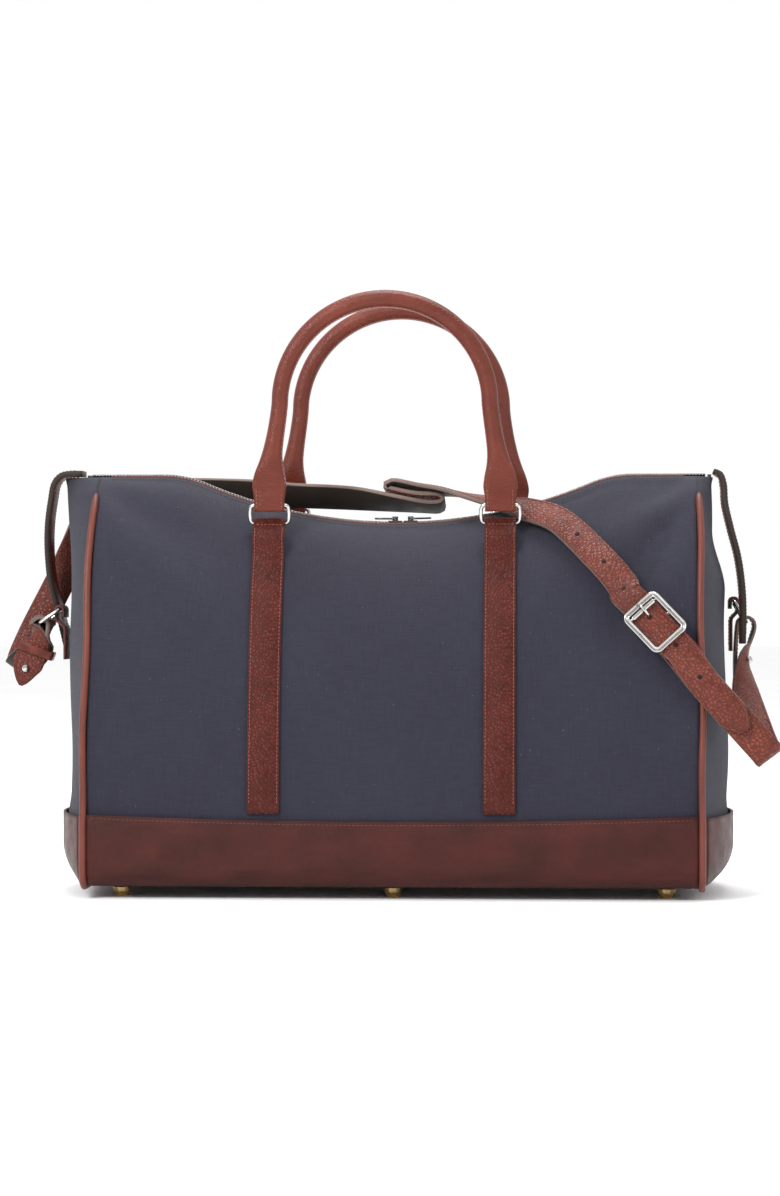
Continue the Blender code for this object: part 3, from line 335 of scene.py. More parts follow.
def ridge(x):
    """Height of the closed zip's top."""
    reach = abs(x)
    arc = min(reach, SAG_HALF)
    height = ZIP_LOW + SAG_RADIUS - math.sqrt(SAG_RADIUS ** 2 - arc ** 2)
    slope = SAG_HALF / math.sqrt(SAG_RADIUS ** 2 - SAG_HALF ** 2)
    run = min(max(reach - SAG_HALF, 0.0), LEVEL_RUN)
    return height + slope * (run - run * run / (2.0 * LEVEL_RUN))


def wall(x, t, side, out=0.0):
    """Point off the canvas front (side -1) or back (+1): t is 0 at the leather band and 1 at the zip."""
    if t < 0.0:
        return Vector((x, side * (HALF_DEPTH + out), BAND_TOP + 0.3 * t))
    top = ridge(x)
    poles = ((HALF_DEPTH, BAND_TOP), (HALF_DEPTH, 0.170), (0.076, top - 0.012), (ZIP_EDGE, top - 0.001))
    r = 1.0 - t
    share = (r ** 3, 3 * r * r * t, 3 * r * t * t, t ** 3)
    y = sum(part * pole[0] for part, pole in zip(share, poles))
    z = sum(part * pole[1] for part, pole in zip(share, poles))
    rate = (r * r, 2 * r * t, t * t)
    dy = sum(rate[i] * (poles[i + 1][0] - poles[i][0]) for i in range(3))
    dz = sum(rate[i] * (poles[i + 1][1] - poles[i][1]) for i in range(3))
    size = math.hypot(dy, dz)
    return Vector((x, side * (y + out * dz / size), z - out * dy / size))


def wall_at(x, z, side, out=0.0):
    """Point off the canvas at a height."""
    low, high = 0.0, 1.0
    for _ in range(30):
        t = 0.5 * (low + high)
        if wall(x, t, side).z < z:
            low = t
        else:
            high = t
    return wall(x, low, side, out)


def end_wall(s, t, side, out=0.0, inset=0.0):
    """Point off the canvas end: s runs from the front seam (-1) to the back seam (+1)."""
    edge = wall(HALF_LENGTH, t, 1, -inset)
    if side < 0:
        swell = END_SWELL + 0.0045 * smooth_step(edge.z, 0.22, 0.30)
    else:
        swell = END_SWELL - 0.0125 * smooth_step(edge.z, 0.24, 0.29)
    x = HALF_LENGTH + swell * (1.0 - s * s) + out
    return Vector((side * x, edge.y * s, edge.z))


def turn_under(z):
    """How far the ends have swelled at a height: they roll under at the floor."""
    return math.sqrt(1.0 - (1.0 - min((z - 0.0105) / 0.030, 1.0)) ** 2)


# ---------------------------------------------------------------- mesh builders

def piece(name, mesh, looks, body, stands_for=()):
    for look in looks:
        mesh.materials.append(look)
    mesh.transform(Matrix.Translation(MIDDLE))
    mesh.shade_smooth()
    obj = bpy.data.objects.new(name, mesh)
    scene.collection.objects.link(obj)
    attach(obj, body)
    if stands_for:
        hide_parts(*stands_for)
    return obj


def patch(name, place, columns, rows, thickness, looks, body, stands_for=(), flip=False):
    """A cloth or leather sheet: place(u, v) is its middle, and looks are its outside, inside and edge."""
    points = [[place(i / columns, j / rows) for i in range(columns + 1)] for j in range(rows + 1)]
    middle = points[rows // 2]
    width = sum((b - a).length for a, b in zip(middle, middle[1:]))
    column = [row[columns // 2] for row in points]
    height = sum((b - a).length for a, b in zip(column, column[1:]))
    mesh = bpy.data.meshes.new(name)
    across = columns + 1
    faces = []
    for j in range(rows):
        for i in range(columns):
            corners = (j * across + i, j * across + i + 1, (j + 1) * across + i + 1, (j + 1) * across + i)
            faces.append(corners[::-1] if flip else corners)
    mesh.from_pydata([point for row in points for point in row], [], faces)
    layer = mesh.uv_layers.new(name="metres")
    for loop in mesh.loops:
        j, i = divmod(loop.vertex_index, across)
        layer.data[loop.index].uv = (i / columns * width, j / rows * height)
    obj = piece(name, mesh, looks, body, stands_for)
    solid = obj.modifiers.new("thickness", 'SOLIDIFY')
    solid.thickness = thickness
    solid.offset = 0.0
    solid.material_offset = 1
    solid.material_offset_rim = 2
    return obj


def skin(name, rings, uvs, look_of, looks, body, stands_for=(), capped=True, cyclic=False):
    """Closed rings of points joined into one solid; look_of(row, column) picks a face's look."""
    mesh = bpy.data.meshes.new(name)
    count = len(rings[0])
    faces, picks, corners = [], [], []
    last = len(rings) if cyclic else len(rings) - 1
    for j in range(last):
        for i in range(count):
            k, n = (i + 1) % count, (j + 1) % len(rings)
            faces.append((j * count + i, j * count + k, n * count + k, n * count + i))
            picks.append(look_of(j, i))
            corners.append(((i, j), (i + 1, j), (i + 1, j + 1), (i, j + 1)))
    if capped and not cyclic:
        for j in (0, len(rings) - 1):
            ring = list(range(j * count, (j + 1) * count))
            faces.append(ring[::-1] if j == 0 else ring)
            picks.append(look_of(min(j, len(rings) - 2), 0))
            corners.append([(i, j) for i in range(count)])
    mesh.from_pydata([point for ring in rings for point in ring], [], faces)
    for polygon, pick in zip(mesh.polygons, picks):
        polygon.material_index = pick
    layer = mesh.uv_layers.new(name="metres")
    index = 0
    for spots in corners:
        for i, j in spots:
            layer.data[index].uv = uvs(j, i)
            index += 1
    shape = bmesh.new()
    shape.from_mesh(mesh)
    bmesh.ops.recalc_face_normals(shape, faces=shape.faces)
    shape.to_mesh(mesh)
    shape.free()
    return piece(name, mesh, looks, body, stands_for)


def runs_of(points, cyclic=False):
    runs = [0.0]
    for a, b in zip(points, points[1:]):
        runs.append(runs[-1] + (b - a).length)
    if cyclic:
        runs.append(runs[-1] + (points[0] - points[-1]).length)
    return runs


def ribbon(name, path, halves, thickness, looks, body, stands_for=(), swap=None, groove=0.0022):
    """A leather strap with rounded edges and a stitching groove; looks are grain, edge and underside."""
    points = [point for point, _ in path]
    runs = runs_of(points)
    rings = []
    spread = None
    for index, (point, across) in enumerate(path):
        heading = points[min(index + 1, len(points) - 1)] - points[max(index - 1, 0)]
        out = heading.cross(across).normalized()
        half, up = halves[index], 0.5 * thickness
        inner = max(half - groove, 0.5 * half)
        r = 0.55 * up
        section = [(-half + 0.3 * r, up - 0.3 * r), (-half + r, up), (-inner - 0.0004, up),
                   (-inner, up - 0.0002), (-inner + 0.0004, up), (0.0, up + 0.00015),
                   (inner - 0.0004, up), (inner, up - 0.0002), (inner + 0.0004, up),
                   (half - r, up), (half - 0.3 * r, up - 0.3 * r), (half, 0.0),
                   (half - 0.3 * r, 0.3 * r - up), (half - r, -up), (0.0, -up),
                   (-half + r, -up), (-half + 0.3 * r, 0.3 * r - up), (-half, 0.0)]
        rings.append([point + across * a + out * b for a, b in section])
        if spread is None or section[11][0] > spread[11]:
            spread = [a for a, _ in section]

    def look_of(row, column):
        grain, under = (0, 2) if swap is None or runs[row] > swap else (2, 0)
        if column < 10:
            return grain
        return under if 12 <= column < 16 else 1

    def uvs(row, column):
        return (spread[column % 18] if column < 12 else 0.05 + spread[column % 18], runs[row])
    return skin(name, rings, uvs, look_of, looks, body, stands_for)


def rod(name, points, radius, looks, body, stands_for=(), cyclic=False, sides=16, hub=None):
    """A round wire or cord along a smooth line, its sections carried along without twist."""
    count = len(points)
    rings = []
    guide = None
    for index, point in enumerate(points):
        before = points[index - 1] if cyclic or index else point
        after = points[(index + 1) % count] if cyclic or index < count - 1 else point
        heading = (after - before).normalized()
        if hub is not None:
            guide = hub
        elif guide is None:
            guide = Vector((0.0, 0.0, 1.0)) if abs(heading.z) < 0.9 else Vector((0.0, 1.0, 0.0))
        side = (guide - heading * guide.dot(heading)).normalized()
        other = heading.cross(side)
        guide = side
        rings.append([point + radius * (side * math.cos(a) + other * math.sin(a))
                      for a in (2.0 * math.pi * k / sides for k in range(sides))])
    runs = runs_of(points, cyclic)
    return skin(name, rings, lambda j, i: (radius * 6.283 * i / sides, runs[j]), lambda j, i: 0, looks, body,
                stands_for, cyclic=cyclic)


def blend(values, i, t):
    """Catmull-Rom curve between values i and i + 1."""
    a, b, c, d = values[i - 1:i + 3]
    square = 2 * a - 5 * b + 4 * c - d
    cube = 3 * b - a - 3 * c + d
    return 0.5 * (2 * b + (c - a) * t + square * t * t + cube * t ** 3)


def through(points, steps=6, cyclic=False):
    """A smooth line through points."""
    points = [Vector(point) for point in points]
    if cyclic:
        line = [points[-1]] + points + points[:2]
        count = len(points)
    else:
        line = [2 * points[0] - points[1]] + points + [2 * points[-1] - points[-2]]
        count = len(points) - 1
    smooth = [blend(line, i + 1, k / steps) for i in range(count) for k in range(steps)]
    return smooth if cyclic else smooth + [points[-1]]


def smooth_path(stations, spacing=0.003):
    """Points and width directions along a curve through the stations."""
    middles = [Vector(middle) for middle, _ in stations]
    widths = [Vector(across).normalized() for _, across in stations]
    middles = [2 * middles[0] - middles[1]] + middles + [2 * middles[-1] - middles[-2]]
    widths = [widths[0]] + widths + [widths[-1]]
    path = []
    for i in range(1, len(middles) - 2):
        count = max(1, round((middles[i + 1] - middles[i]).length / spacing))
        for k in range(count):
            t = k / count
            path.append((blend(middles, i, t), blend(widths, i, t)))
    path.append((middles[-2], widths[-2]))
    result = []
    for i, (middle, across) in enumerate(path):
        heading = path[min(i + 1, len(path) - 1)][0] - path[max(i - 1, 0)][0]
        across = across - heading * (across.dot(heading) / heading.length_squared)
        result.append((middle, across.normalized()))
    return result


def tongue(path, half, length, ends):
    """Half widths that narrow to a rounded point at the chosen ends."""
    runs = runs_of([point for point, _ in path])
    widths = []
    for run in runs:
        width = half
        for end in ends:
            rest = run if end == 0 else runs[-1] - run
            if rest < length:
                width = min(width, half * (0.12 + 0.88 * (max(rest / length, 0.0)) ** 0.72))
        widths.append(width)
    return widths


def stitches(name, rows, look, body, pitch=0.0032, length=0.0022, radius=0.00028):
    """Sewn thread along rows of (point, outward direction): each stitch dips into the leather at its ends."""
    verts, faces = [], []
    for row in rows:
        runs = runs_of([point for point, _ in row])
        run, index = 0.5 * pitch, 0
        while run < runs[-1] - 0.5 * pitch:
            while runs[index + 1] < run:
                index += 1
            share = (run - runs[index]) / max(runs[index + 1] - runs[index], 1e-9)
            a, b = row[index], row[index + 1]
            point = a[0].lerp(b[0], share)
            out = a[1].lerp(b[1], share).normalized()
            heading = (b[0] - a[0]).normalized()
            side = heading.cross(out).normalized()
            start = len(verts)
            for along, lift, size in ((-0.5, -0.7, 0.5), (-0.3, 0.3, 1.0), (0.3, 0.3, 1.0), (0.5, -0.7, 0.5)):
                for k in range(5):
                    angle = 2.0 * math.pi * k / 5.0
                    rise = out * radius * (lift + size * math.sin(angle))
                    sideways = side * radius * size * math.cos(angle)
                    verts.append(point + heading * along * length + rise + sideways)
            for ring in range(3):
                for k in range(5):
                    n = (k + 1) % 5
                    faces.append((start + 5 * ring + k, start + 5 * ring + n,
                                  start + 5 * ring + 5 + n, start + 5 * ring + 5 + k))
            faces.append(tuple(start + k for k in reversed(range(5))))
            faces.append(tuple(start + 15 + k for k in range(5)))
            run += pitch
    mesh = bpy.data.meshes.new(name)
    mesh.from_pydata(verts, [], faces)
    return piece(name, mesh, [look], body)


def edge_rows(path, halves, thickness, inset, skip=0.004, sides=(-1, 1), face=1, until=None):
    """Two stitching rows on one face of a strap, a little inside its edges."""
    points = [point for point, _ in path]
    runs = runs_of(points)
    rows = []
    for side in sides:
        row = []
        for index, (point, across) in enumerate(path):
            if runs[index] < skip or runs[index] > runs[-1] - skip:
                continue
            if until is not None and not until[0] <= runs[index] <= until[1]:
                continue
            heading = points[min(index + 1, len(points) - 1)] - points[max(index - 1, 0)]
            out = face * heading.cross(across).normalized()
            reach = max(halves[index] - inset, 0.0)
            row.append((point + across * side * reach + out * (0.5 * thickness + 0.00004), out))
        if len(row) > 2:
            rows.append(row)
    return rows


# ---------------------------------------------------------------- canvas body

def wrinkle(x, z, side):
    """How far the front or back canvas falls inwards: soft folds that fan out from the upper corners."""
    fold = 0.0
    for hand in (-1, 1):
        dx = hand * HALF_LENGTH - x
        reach = abs(dx)
        dz = 0.335 - z
        angle = math.atan2(dz, reach + 0.02)
        far = math.hypot(reach, dz)
        near = smooth_step(far, 0.33, 0.03) * smooth_step(reach, 0.0, 0.03)
        fan = 0.5 + 0.5 * math.sin(10.0 * angle + 2.0 * side + 1.3 * hand)
        fold += near * fan * 0.0040
        drag = (reach - 0.012 - 0.42 * dz) / 0.011
        fold += 0.0020 * math.exp(-drag * drag) * smooth_step(dz, 0.02, 0.05) * smooth_step(dz, 0.17, 0.10)
    fold += 0.0010 * (0.5 + 0.5 * noise.noise(Vector((x * 11.0, side * 3.0, z * 16.0))))
    gather = math.sin(x * 190.0 + 2.0 * math.sin(x * 41.0))
    fold += 0.0006 * smooth_step(z, 0.115, 0.066) * (0.5 + 0.5 * gather)
    handle = FRONT_HANDLE_X if side < 0 else BACK_HANDLE_X
    beside = min(abs(x - handle - RING_REACH), abs(x - handle + RING_REACH))
    return min(fold, DEEPEST_FOLD) * smooth_step(beside, 0.0115, 0.035)


def make_canvas():
    for name, side in (("front_panel", -1), ("back_panel", 1)):
        def panel(u, v, side=side):
            t = -0.03 + 1.03 * v
            reach = HALF_LENGTH - 0.0024 + 0.0020 * smooth_step(t, 0.80, 0.86)
            x = (2.0 * u - 1.0) * reach
            edge = smooth_step(v, 0.0, 0.05) * smooth_step(1.0 - v, 0.0, 0.08)
            flat = wall(x, t, side)
            return wall(x, t, side, -0.0008 - edge * wrinkle(x, flat.z, side))
        patch(name + "_cloth", panel, 190, 110, 0.0013, [CANVAS, CANVAS_INSIDE, CANVAS], "bag", (name,),
              flip=side > 0)

    for name, side in (("left", -1), ("right", 1)):
        def end(u, v, side=side):
            t = -0.03 + 1.01 * v
            s = 2.0 * u - 1.0
            base = end_wall(s, t, side, -0.0004, 0.0022 - 0.0020 * smooth_step(t, 0.80, 0.86))
            z = base.z
            soft = (1.0 - s * s) * smooth_step(v, 0.0, 0.08) * smooth_step(1.0 - v, 0.0, 0.10)
            dent = 0.0030 * (0.5 + 0.5 * math.sin(34.0 * z + 3.0 * s + side)) \
                + 0.0016 * (0.5 + 0.5 * noise.noise(Vector((s * 2.6, side * 5.0, z * 14.0))))
            base.x -= side * soft * dent
            return base
        patch(name + "_end_cloth", end, 60, 90, 0.0013, [CANVAS, CANVAS_INSIDE, CANVAS], "bag",
              (name + "_end_panel",), flip=side < 0)


def base_profile(depth, steps=8):
    """Leather base from the front's top edge, under the bag, to the back's top edge."""
    inside = BASE_CORNER - depth
    points = [(-(BASE_DEPTH - depth), z) for z in (BAND_TOP, 0.058, 0.052, 0.044, 0.036, 0.029)]
    for step in range(steps + 1):
        angle = math.radians(90.0 * step / steps)
        points.append((-(BASE_DEPTH - BASE_CORNER) - inside * math.cos(angle),
                       BASE_BOTTOM + BASE_CORNER - inside * math.sin(angle)))
    points += [(-0.070, BASE_BOTTOM + depth), (-0.035, BASE_BOTTOM + depth)]
    return points + [(0.0, BASE_BOTTOM + depth)] + [(-y, z) for y, z in reversed(points)]


def make_base():
    profile = base_profile(0.0011)
    last = len(profile) - 1

    def base(u, v):
        x = (2.0 * u - 1.0) * (HALF_LENGTH - 0.0022)
        index = round(v * last)
        y, z = profile[index]
        depth = min(index, last - index)
        if depth == 0:
            z -= 0.003 - 0.005 * (x / HALF_LENGTH) ** 2
        ripple = 0.0005 * noise.noise(Vector((x * 17.0, y * 9.0, z * 30.0)))
        puff = 0.0007 * math.sin(math.pi * min(depth / 6.0, 1.0))
        return Vector((x, y + math.copysign(ripple + puff, y) if abs(y) > 0.09 else y, z))
    patch("base_hide", base, 120, last, 0.0022, [BASE_HIDE, BACKING, DARK_EDGE], "bag", ("base_leather",),
          flip=True)

    for name, side in (("left", -1), ("right", 1)):
        def band(u, v, side=side):
            s = 2.0 * u - 1.0
            z = 0.0126 + (BAND_TOP - 0.0126) * v
            rise = min((z - BASE_BOTTOM) / BASE_CORNER, 1.0)
            half = BASE_DEPTH - BASE_CORNER + BASE_CORNER * math.sqrt(1.0 - (1.0 - rise) ** 2) - 0.0026
            x = HALF_LENGTH + 0.0024 + (END_SWELL + 0.0005) * (1.0 - s * s) * turn_under(z)
            return Vector((side * x, half * s, z))
        patch(name + "_end_hide", band, 40, 24, 0.0022, [BASE_HIDE, BACKING, DARK_EDGE], "bag",
              (name + "_end_leather",), flip=side < 0)

    rows = []
    for side in (-1, 1):
        row = []
        for k in range(161):
            x = (k / 80.0 - 1.0) * (HALF_LENGTH - 0.006)
            z = BAND_TOP - 0.0030 + 0.005 * (x / HALF_LENGTH) ** 2 - 0.0026
            row.append((Vector((x, side * (BASE_DEPTH + 0.0002), z)), Vector((0.0, side, 0.0))))
        rows.append(row)
    stitches("base_stitching", rows, BROWN_THREAD, "bag", 0.0034, 0.0024, 0.00026)


def make_piping():
    for name, side in (("left", -1), ("right", 1)):
        half = [wall(side * HALF_LENGTH, t, -1, 0.0010) for t in
                (0.84, 0.80, 0.74, 0.68, 0.60, 0.52, 0.44, 0.36, 0.28, 0.20, 0.12, 0.05)]
        for y, z in base_profile(0.0)[1:]:
            if y < -0.04:
                half.append(Vector((side * HALF_LENGTH, y - 0.0002, z)))
        for index, point in enumerate(half):
            sway = 0.0008 * math.sin(point.z * 46.0 + side) * smooth_step(point.z, 0.06, 0.10)
            half[index] = point + Vector((sway, 0.0, 0.0))
        line = half + [Vector((point.x, -point.y, point.z)) for point in reversed(half)]
        smooth = through(line, 4)
        cord = rod(name + "_piping_cord", smooth, PIPING_RADIUS, [PIPING_HIDE], "bag", (name + "_piping",),
                   sides=14)
        tip = len(cord.data.vertices)
        for vertex in cord.data.vertices:
            row = vertex.index // 14
            near = min(row, tip // 14 - 1 - row)
            if near < 4:
                middle = (smooth[near] if row == near else smooth[-1 - near]) + MIDDLE
                vertex.co = middle + (vertex.co - middle) * (0.35 + 0.65 * math.sqrt(near / 4.0))


def make_lining():
    def tub(u, v):
        angle = u * 4.0
        side = int(min(angle, 3.999))
        part = angle - side
        t = max(v - 0.06, -0.05) * 0.84
        low = v < 0.02
        if side == 0:
            point = wall((2.0 * part - 1.0) * 0.232, t, -1, -0.0065)
        elif side == 1:
            point = end_wall(2.0 * part - 1.0, t, 1, -0.0085, 0.0065)
            point.x = 0.232 + (point.x - 0.232) * smooth_step(1.0 - abs(2.0 * part - 1.0), 0.0, 0.1)
        elif side == 2:
            point = wall((1.0 - 2.0 * part) * 0.232, t, 1, -0.0065)
        else:
            point = end_wall(1.0 - 2.0 * part, t, -1, -0.0085, 0.0065)
            point.x = -0.232 + (point.x + 0.232) * smooth_step(1.0 - abs(2.0 * part - 1.0), 0.0, 0.1)
        if low:
            point = Vector((point.x * 0.55, point.y * 0.45, 0.0162))
        elif t < 0.0:
            point.z = 0.0175 + 0.6 * (0.064 + t * 0.9 - 0.019) * (v / 0.06)
            point.x *= 0.955
            point.y *= 0.93
        return point
    patch("lining_cloth", tub, 96, 50, 0.0008, [LINING, LINING, LINING], "bag", ("lining",),
          flip=True)


# ---------------------------------------------------------------- zip

def make_zip():
    for name, side in (("front", -1), ("back", 1)):
        def tape(u, v, side=side):
            x = (2.0 * u - 1.0) * (HALF_LENGTH - 0.0025)
            return Vector((x, side * (0.0030 + 0.0135 * v), ridge(x) - 0.0050 - 0.0006 * v))
        patch(name + "_tape_cloth", tape, 120, 4, 0.0009, [TAPE, TAPE, TAPE], "bag", (name + "_zip_tape",),
              flip=side < 0)
        rows = []
        welt = []
        for k in range(161):
            x = (k / 80.0 - 1.0) * (HALF_LENGTH - 0.010)
            top = wall(x, 0.955, side, 0.0001)
            out = (wall(x, 0.955, side, 1.0) - wall(x, 0.955, side)).normalized()
            rows.append((top, out))
            welt.append(wall(x, 1.0, side, -0.0002))
        rod(name + "_zip_welt", welt, 0.0013, [DARK_EDGE], "bag", sides=10)
        stitches(name + "_zip_stitching", [rows], NAVY_THREAD, "bag", 0.0030, 0.0021, 0.00024)

    verts, faces = [], []
    pitch = 0.0027
    length = 0.0
    x = -0.2485
    index = 0
    while x < 0.2485:
        step = 0.0005
        slope = (ridge(x + step) - ridge(x - step)) / (2.0 * step)
        along = Vector((1.0, 0.0, slope)).normalized()
        up = Vector((-slope, 0.0, 1.0)).normalized()
        side = 1 if index % 2 else -1
        middle = Vector((x, side * 0.0011, ridge(x) + 0.0002))
        start = len(verts)
        for a in (-0.00072, 0.00072):
            for b, c in ((-0.0023, -0.0011), (0.0023, -0.0011), (0.0023, 0.0007), (0.0017, 0.0012),
                         (-0.0017, 0.0012), (-0.0023, 0.0007)):
                verts.append(middle + along * a + Vector((0.0, b, 0.0)) + up * c)
        faces.append(tuple(start + k for k in range(6)))
        faces.append(tuple(start + 6 + k for k in reversed(range(6))))
        for k in range(6):
            n = (k + 1) % 6
            faces.append((start + k, start + 6 + k, start + 6 + n, start + n))
        length = pitch / math.hypot(1.0, slope)
        x += 0.5 * length
        index += 1
    mesh = bpy.data.meshes.new("zip_teeth")
    mesh.from_pydata(verts, [], faces)
    piece("zip_teeth", mesh, [TEETH], "bag", ("zip_chain",))

    hub = Vector((0.0, 0.0, ZIP_LOW + SAG_RADIUS))
    for name, side in (("left", -1), ("right", 1)):
        angle = math.asin((0.004 + side * 0.0063) / SAG_RADIUS)
        turn = Matrix.Rotation(-angle, 4, 'Y')
        placing = Matrix.Translation(hub) @ turn @ Matrix.Translation((0.0, 0.0, -SAG_RADIUS))
        outline = [placing @ Vector((side * run, y, 0.0038)) for y, run in
                   ((-0.0022, -0.0004), (-0.0034, 0.004), (-0.0037, 0.009), (-0.0033, 0.013),
                    (-0.0019, 0.0158), (0.0019, 0.0158), (0.0033, 0.013), (0.0037, 0.009),
                    (0.0034, 0.004), (0.0022, -0.0004))]
        rod(name + "_pull_wire", through(outline, 5, True), 0.0007, [DARK_ZIP_METAL], name + "_pull",
            (name + "_zip_pull",), cyclic=True, sides=10, hub=Vector((0.0, 0.0, 1.0)))
        for node in (name + "_zip_slider", name + "_zip_stop"):
            dress(node, DARK_ZIP_METAL, 0.0005)


def dress(node, look, bevel=0.0):
    """Give a frame piece its look, and round its edges."""
    obj = NODES[node]
    obj.data.materials.clear()
    obj.data.materials.append(look)
    if bevel:
        soft = obj.modifiers.new("edges", 'BEVEL')
        soft.width = bevel
        soft.segments = 3
        soft.limit_method = 'ANGLE'
        soft.angle_limit = math.radians(35.0)


# ---------------------------------------------------------------- hangers, rings and handles

def hanger_path(bar, normal, down, wall_points, back_run, lead):
    """Leather that climbs a wall, loops over a bar and comes back down behind itself."""
    radius = WIRE + 0.0004 + 0.5 * LEATHER
    path = []
    for point, out, run, lift in wall_points:
        share = smooth_step(run, back_run + 0.001, back_run + 0.001 + lead)
        path.append(point + out * (lift + radius + (0.0015 - lift - radius) * share))
    for step in range(13):
        angle = math.pi * step / 12.0
        path.append(bar + normal * radius * math.cos(angle) - down * radius * math.sin(angle))
    for run in (0.45 * back_run, back_run):
        path.append(bar - normal * radius + down * run)
    return path


def make_hanger(name, x, side):
    bar = Vector((x, side * LOWER_BAR[0], LOWER_BAR[1]))
    t_foot = min((k / 400.0 for k in range(400)), key=lambda t: (wall(x, t, side) - bar).length)
    foot = wall(x, t_foot, side)
    lift = (bar - foot).length
    normal = (bar - foot) / lift
    down = (wall(x, t_foot - 0.01, side) - foot).normalized()
    edges = []
    for hand in (-1, 1):
        offset = Vector((hand * STRAP_HALF, 0.0, 0.0))
        points = []
        for k in range(66):
            t = 0.010 + (t_foot - 0.010) * k / 66.0
            near = wall(x, t, side) + offset
            far = wall(x + offset.x, t, side)
            out = wall(x, t, side, 1.0) - wall(x, t, side)
            run = (near - offset - foot).length
            points.append((near.lerp(far, smooth_step(run, 0.013, 0.027)), out, run, lift))
        edges.append(hanger_path(bar + offset, normal, down, points, 0.012, 0.014))
    path = []
    for a, b in zip(*edges):
        path.append(((a + b) * 0.5, (b - a).normalized() * side))
    halves = [0.5 * (b - a).length for a, b in zip(*edges)]
    ribbon(name + "_strip", path, halves, LEATHER, [TRIM_HIDE, DARK_EDGE, BACKING], "bag", (name,),
           groove=TRIM_SEAM)
    top = runs_of([point for point, _ in path])[-1] - 0.020
    rows = edge_rows(path, halves, LEATHER, TRIM_SEAM, until=(0.001, top - 0.008))
    row = []
    cut = next(i for i, run in enumerate(runs_of([p for p, _ in path])) if run > top - 0.008)
    point, across = path[cut]
    out = (path[cut + 1][0] - path[cut - 1][0]).cross(across).normalized()
    for k in range(13):
        reach = across * (k / 6.0 - 1.0) * (halves[cut] - TRIM_SEAM)
        row.append((point + reach + out * (0.5 * LEATHER + 0.00004), out))
    stitches(name + "_stitching", rows + [row], RED_THREAD, "bag", *TRIM_STITCH)


def make_ring(name, x, side, body):
    middle_y = 0.5 * (LOWER_BAR[0] + UPPER_BAR[0])
    middle_z = 0.5 * (LOWER_BAR[1] + UPPER_BAR[1])
    lean = (UPPER_BAR[0] - LOWER_BAR[0]) / (UPPER_BAR[1] - LOWER_BAR[1])
    half = 0.5 * (UPPER_BAR[1] - LOWER_BAR[1])
    corner = ((0.0, 1.0), (0.0080, 1.0), (0.0122, 1.0), (0.0138, 0.93), (0.0149, 0.74), (0.0154, 0.42),
              (0.0156, 0.0))
    quarter = [(a, b * half) for a, b in corner]
    outline = quarter + [(a, -b) for a, b in reversed(quarter[:-1])]
    outline += [(-a, b) for a, b in reversed(outline[1:-1])]
    points = [Vector((x + a, side * (middle_y + b * lean), middle_z + b)) for a, b in outline]
    rod(name + "_wire", through(points, 4, True), WIRE, [NICKEL], body, (name,), cyclic=True,
        sides=16, hub=Vector((0.0, side, 0.0)))


def handle_spine():
    leg = ((RING_REACH, 0.3036, 0.0122, 0.0040), (RING_REACH, 0.3136, 0.0122, 0.0040),
           (RING_REACH, 0.3200, 0.0132, 0.0034), (RING_REACH, 0.3250, 0.0136, 0.0038),
           (0.0914, 0.3330, 0.0122, 0.0048), (0.0904, 0.3420, 0.0098, 0.0060),
           (0.0890, 0.3520, 0.0080, 0.0068), (0.0868, 0.3650, 0.0071, 0.0068),
           (0.0848, 0.3780, 0.0068, 0.0068))
    rows = [Vector((reach, z, wide, deep)) for reach, z, wide, deep in leg]
    for step in range(0, 15):
        angle = math.radians(180.0 * step / 28.0)
        thick = 0.0067 + 0.0005 * math.sin(angle)
        rows.append(Vector((0.0835 * math.cos(angle), 0.389 + 0.0835 * math.sin(angle), thick, thick)))
    rows += [Vector((-row[0], row[1], row[2], row[3])) for row in reversed(rows[:-1])]
    line = [2 * rows[0] - rows[1]] + rows + [2 * rows[-1] - rows[-2]]
    fine = [blend(line, i + 1, k / 3) for i in range(len(rows) - 1) for k in range(3)]
    return fine + [rows[-1]]


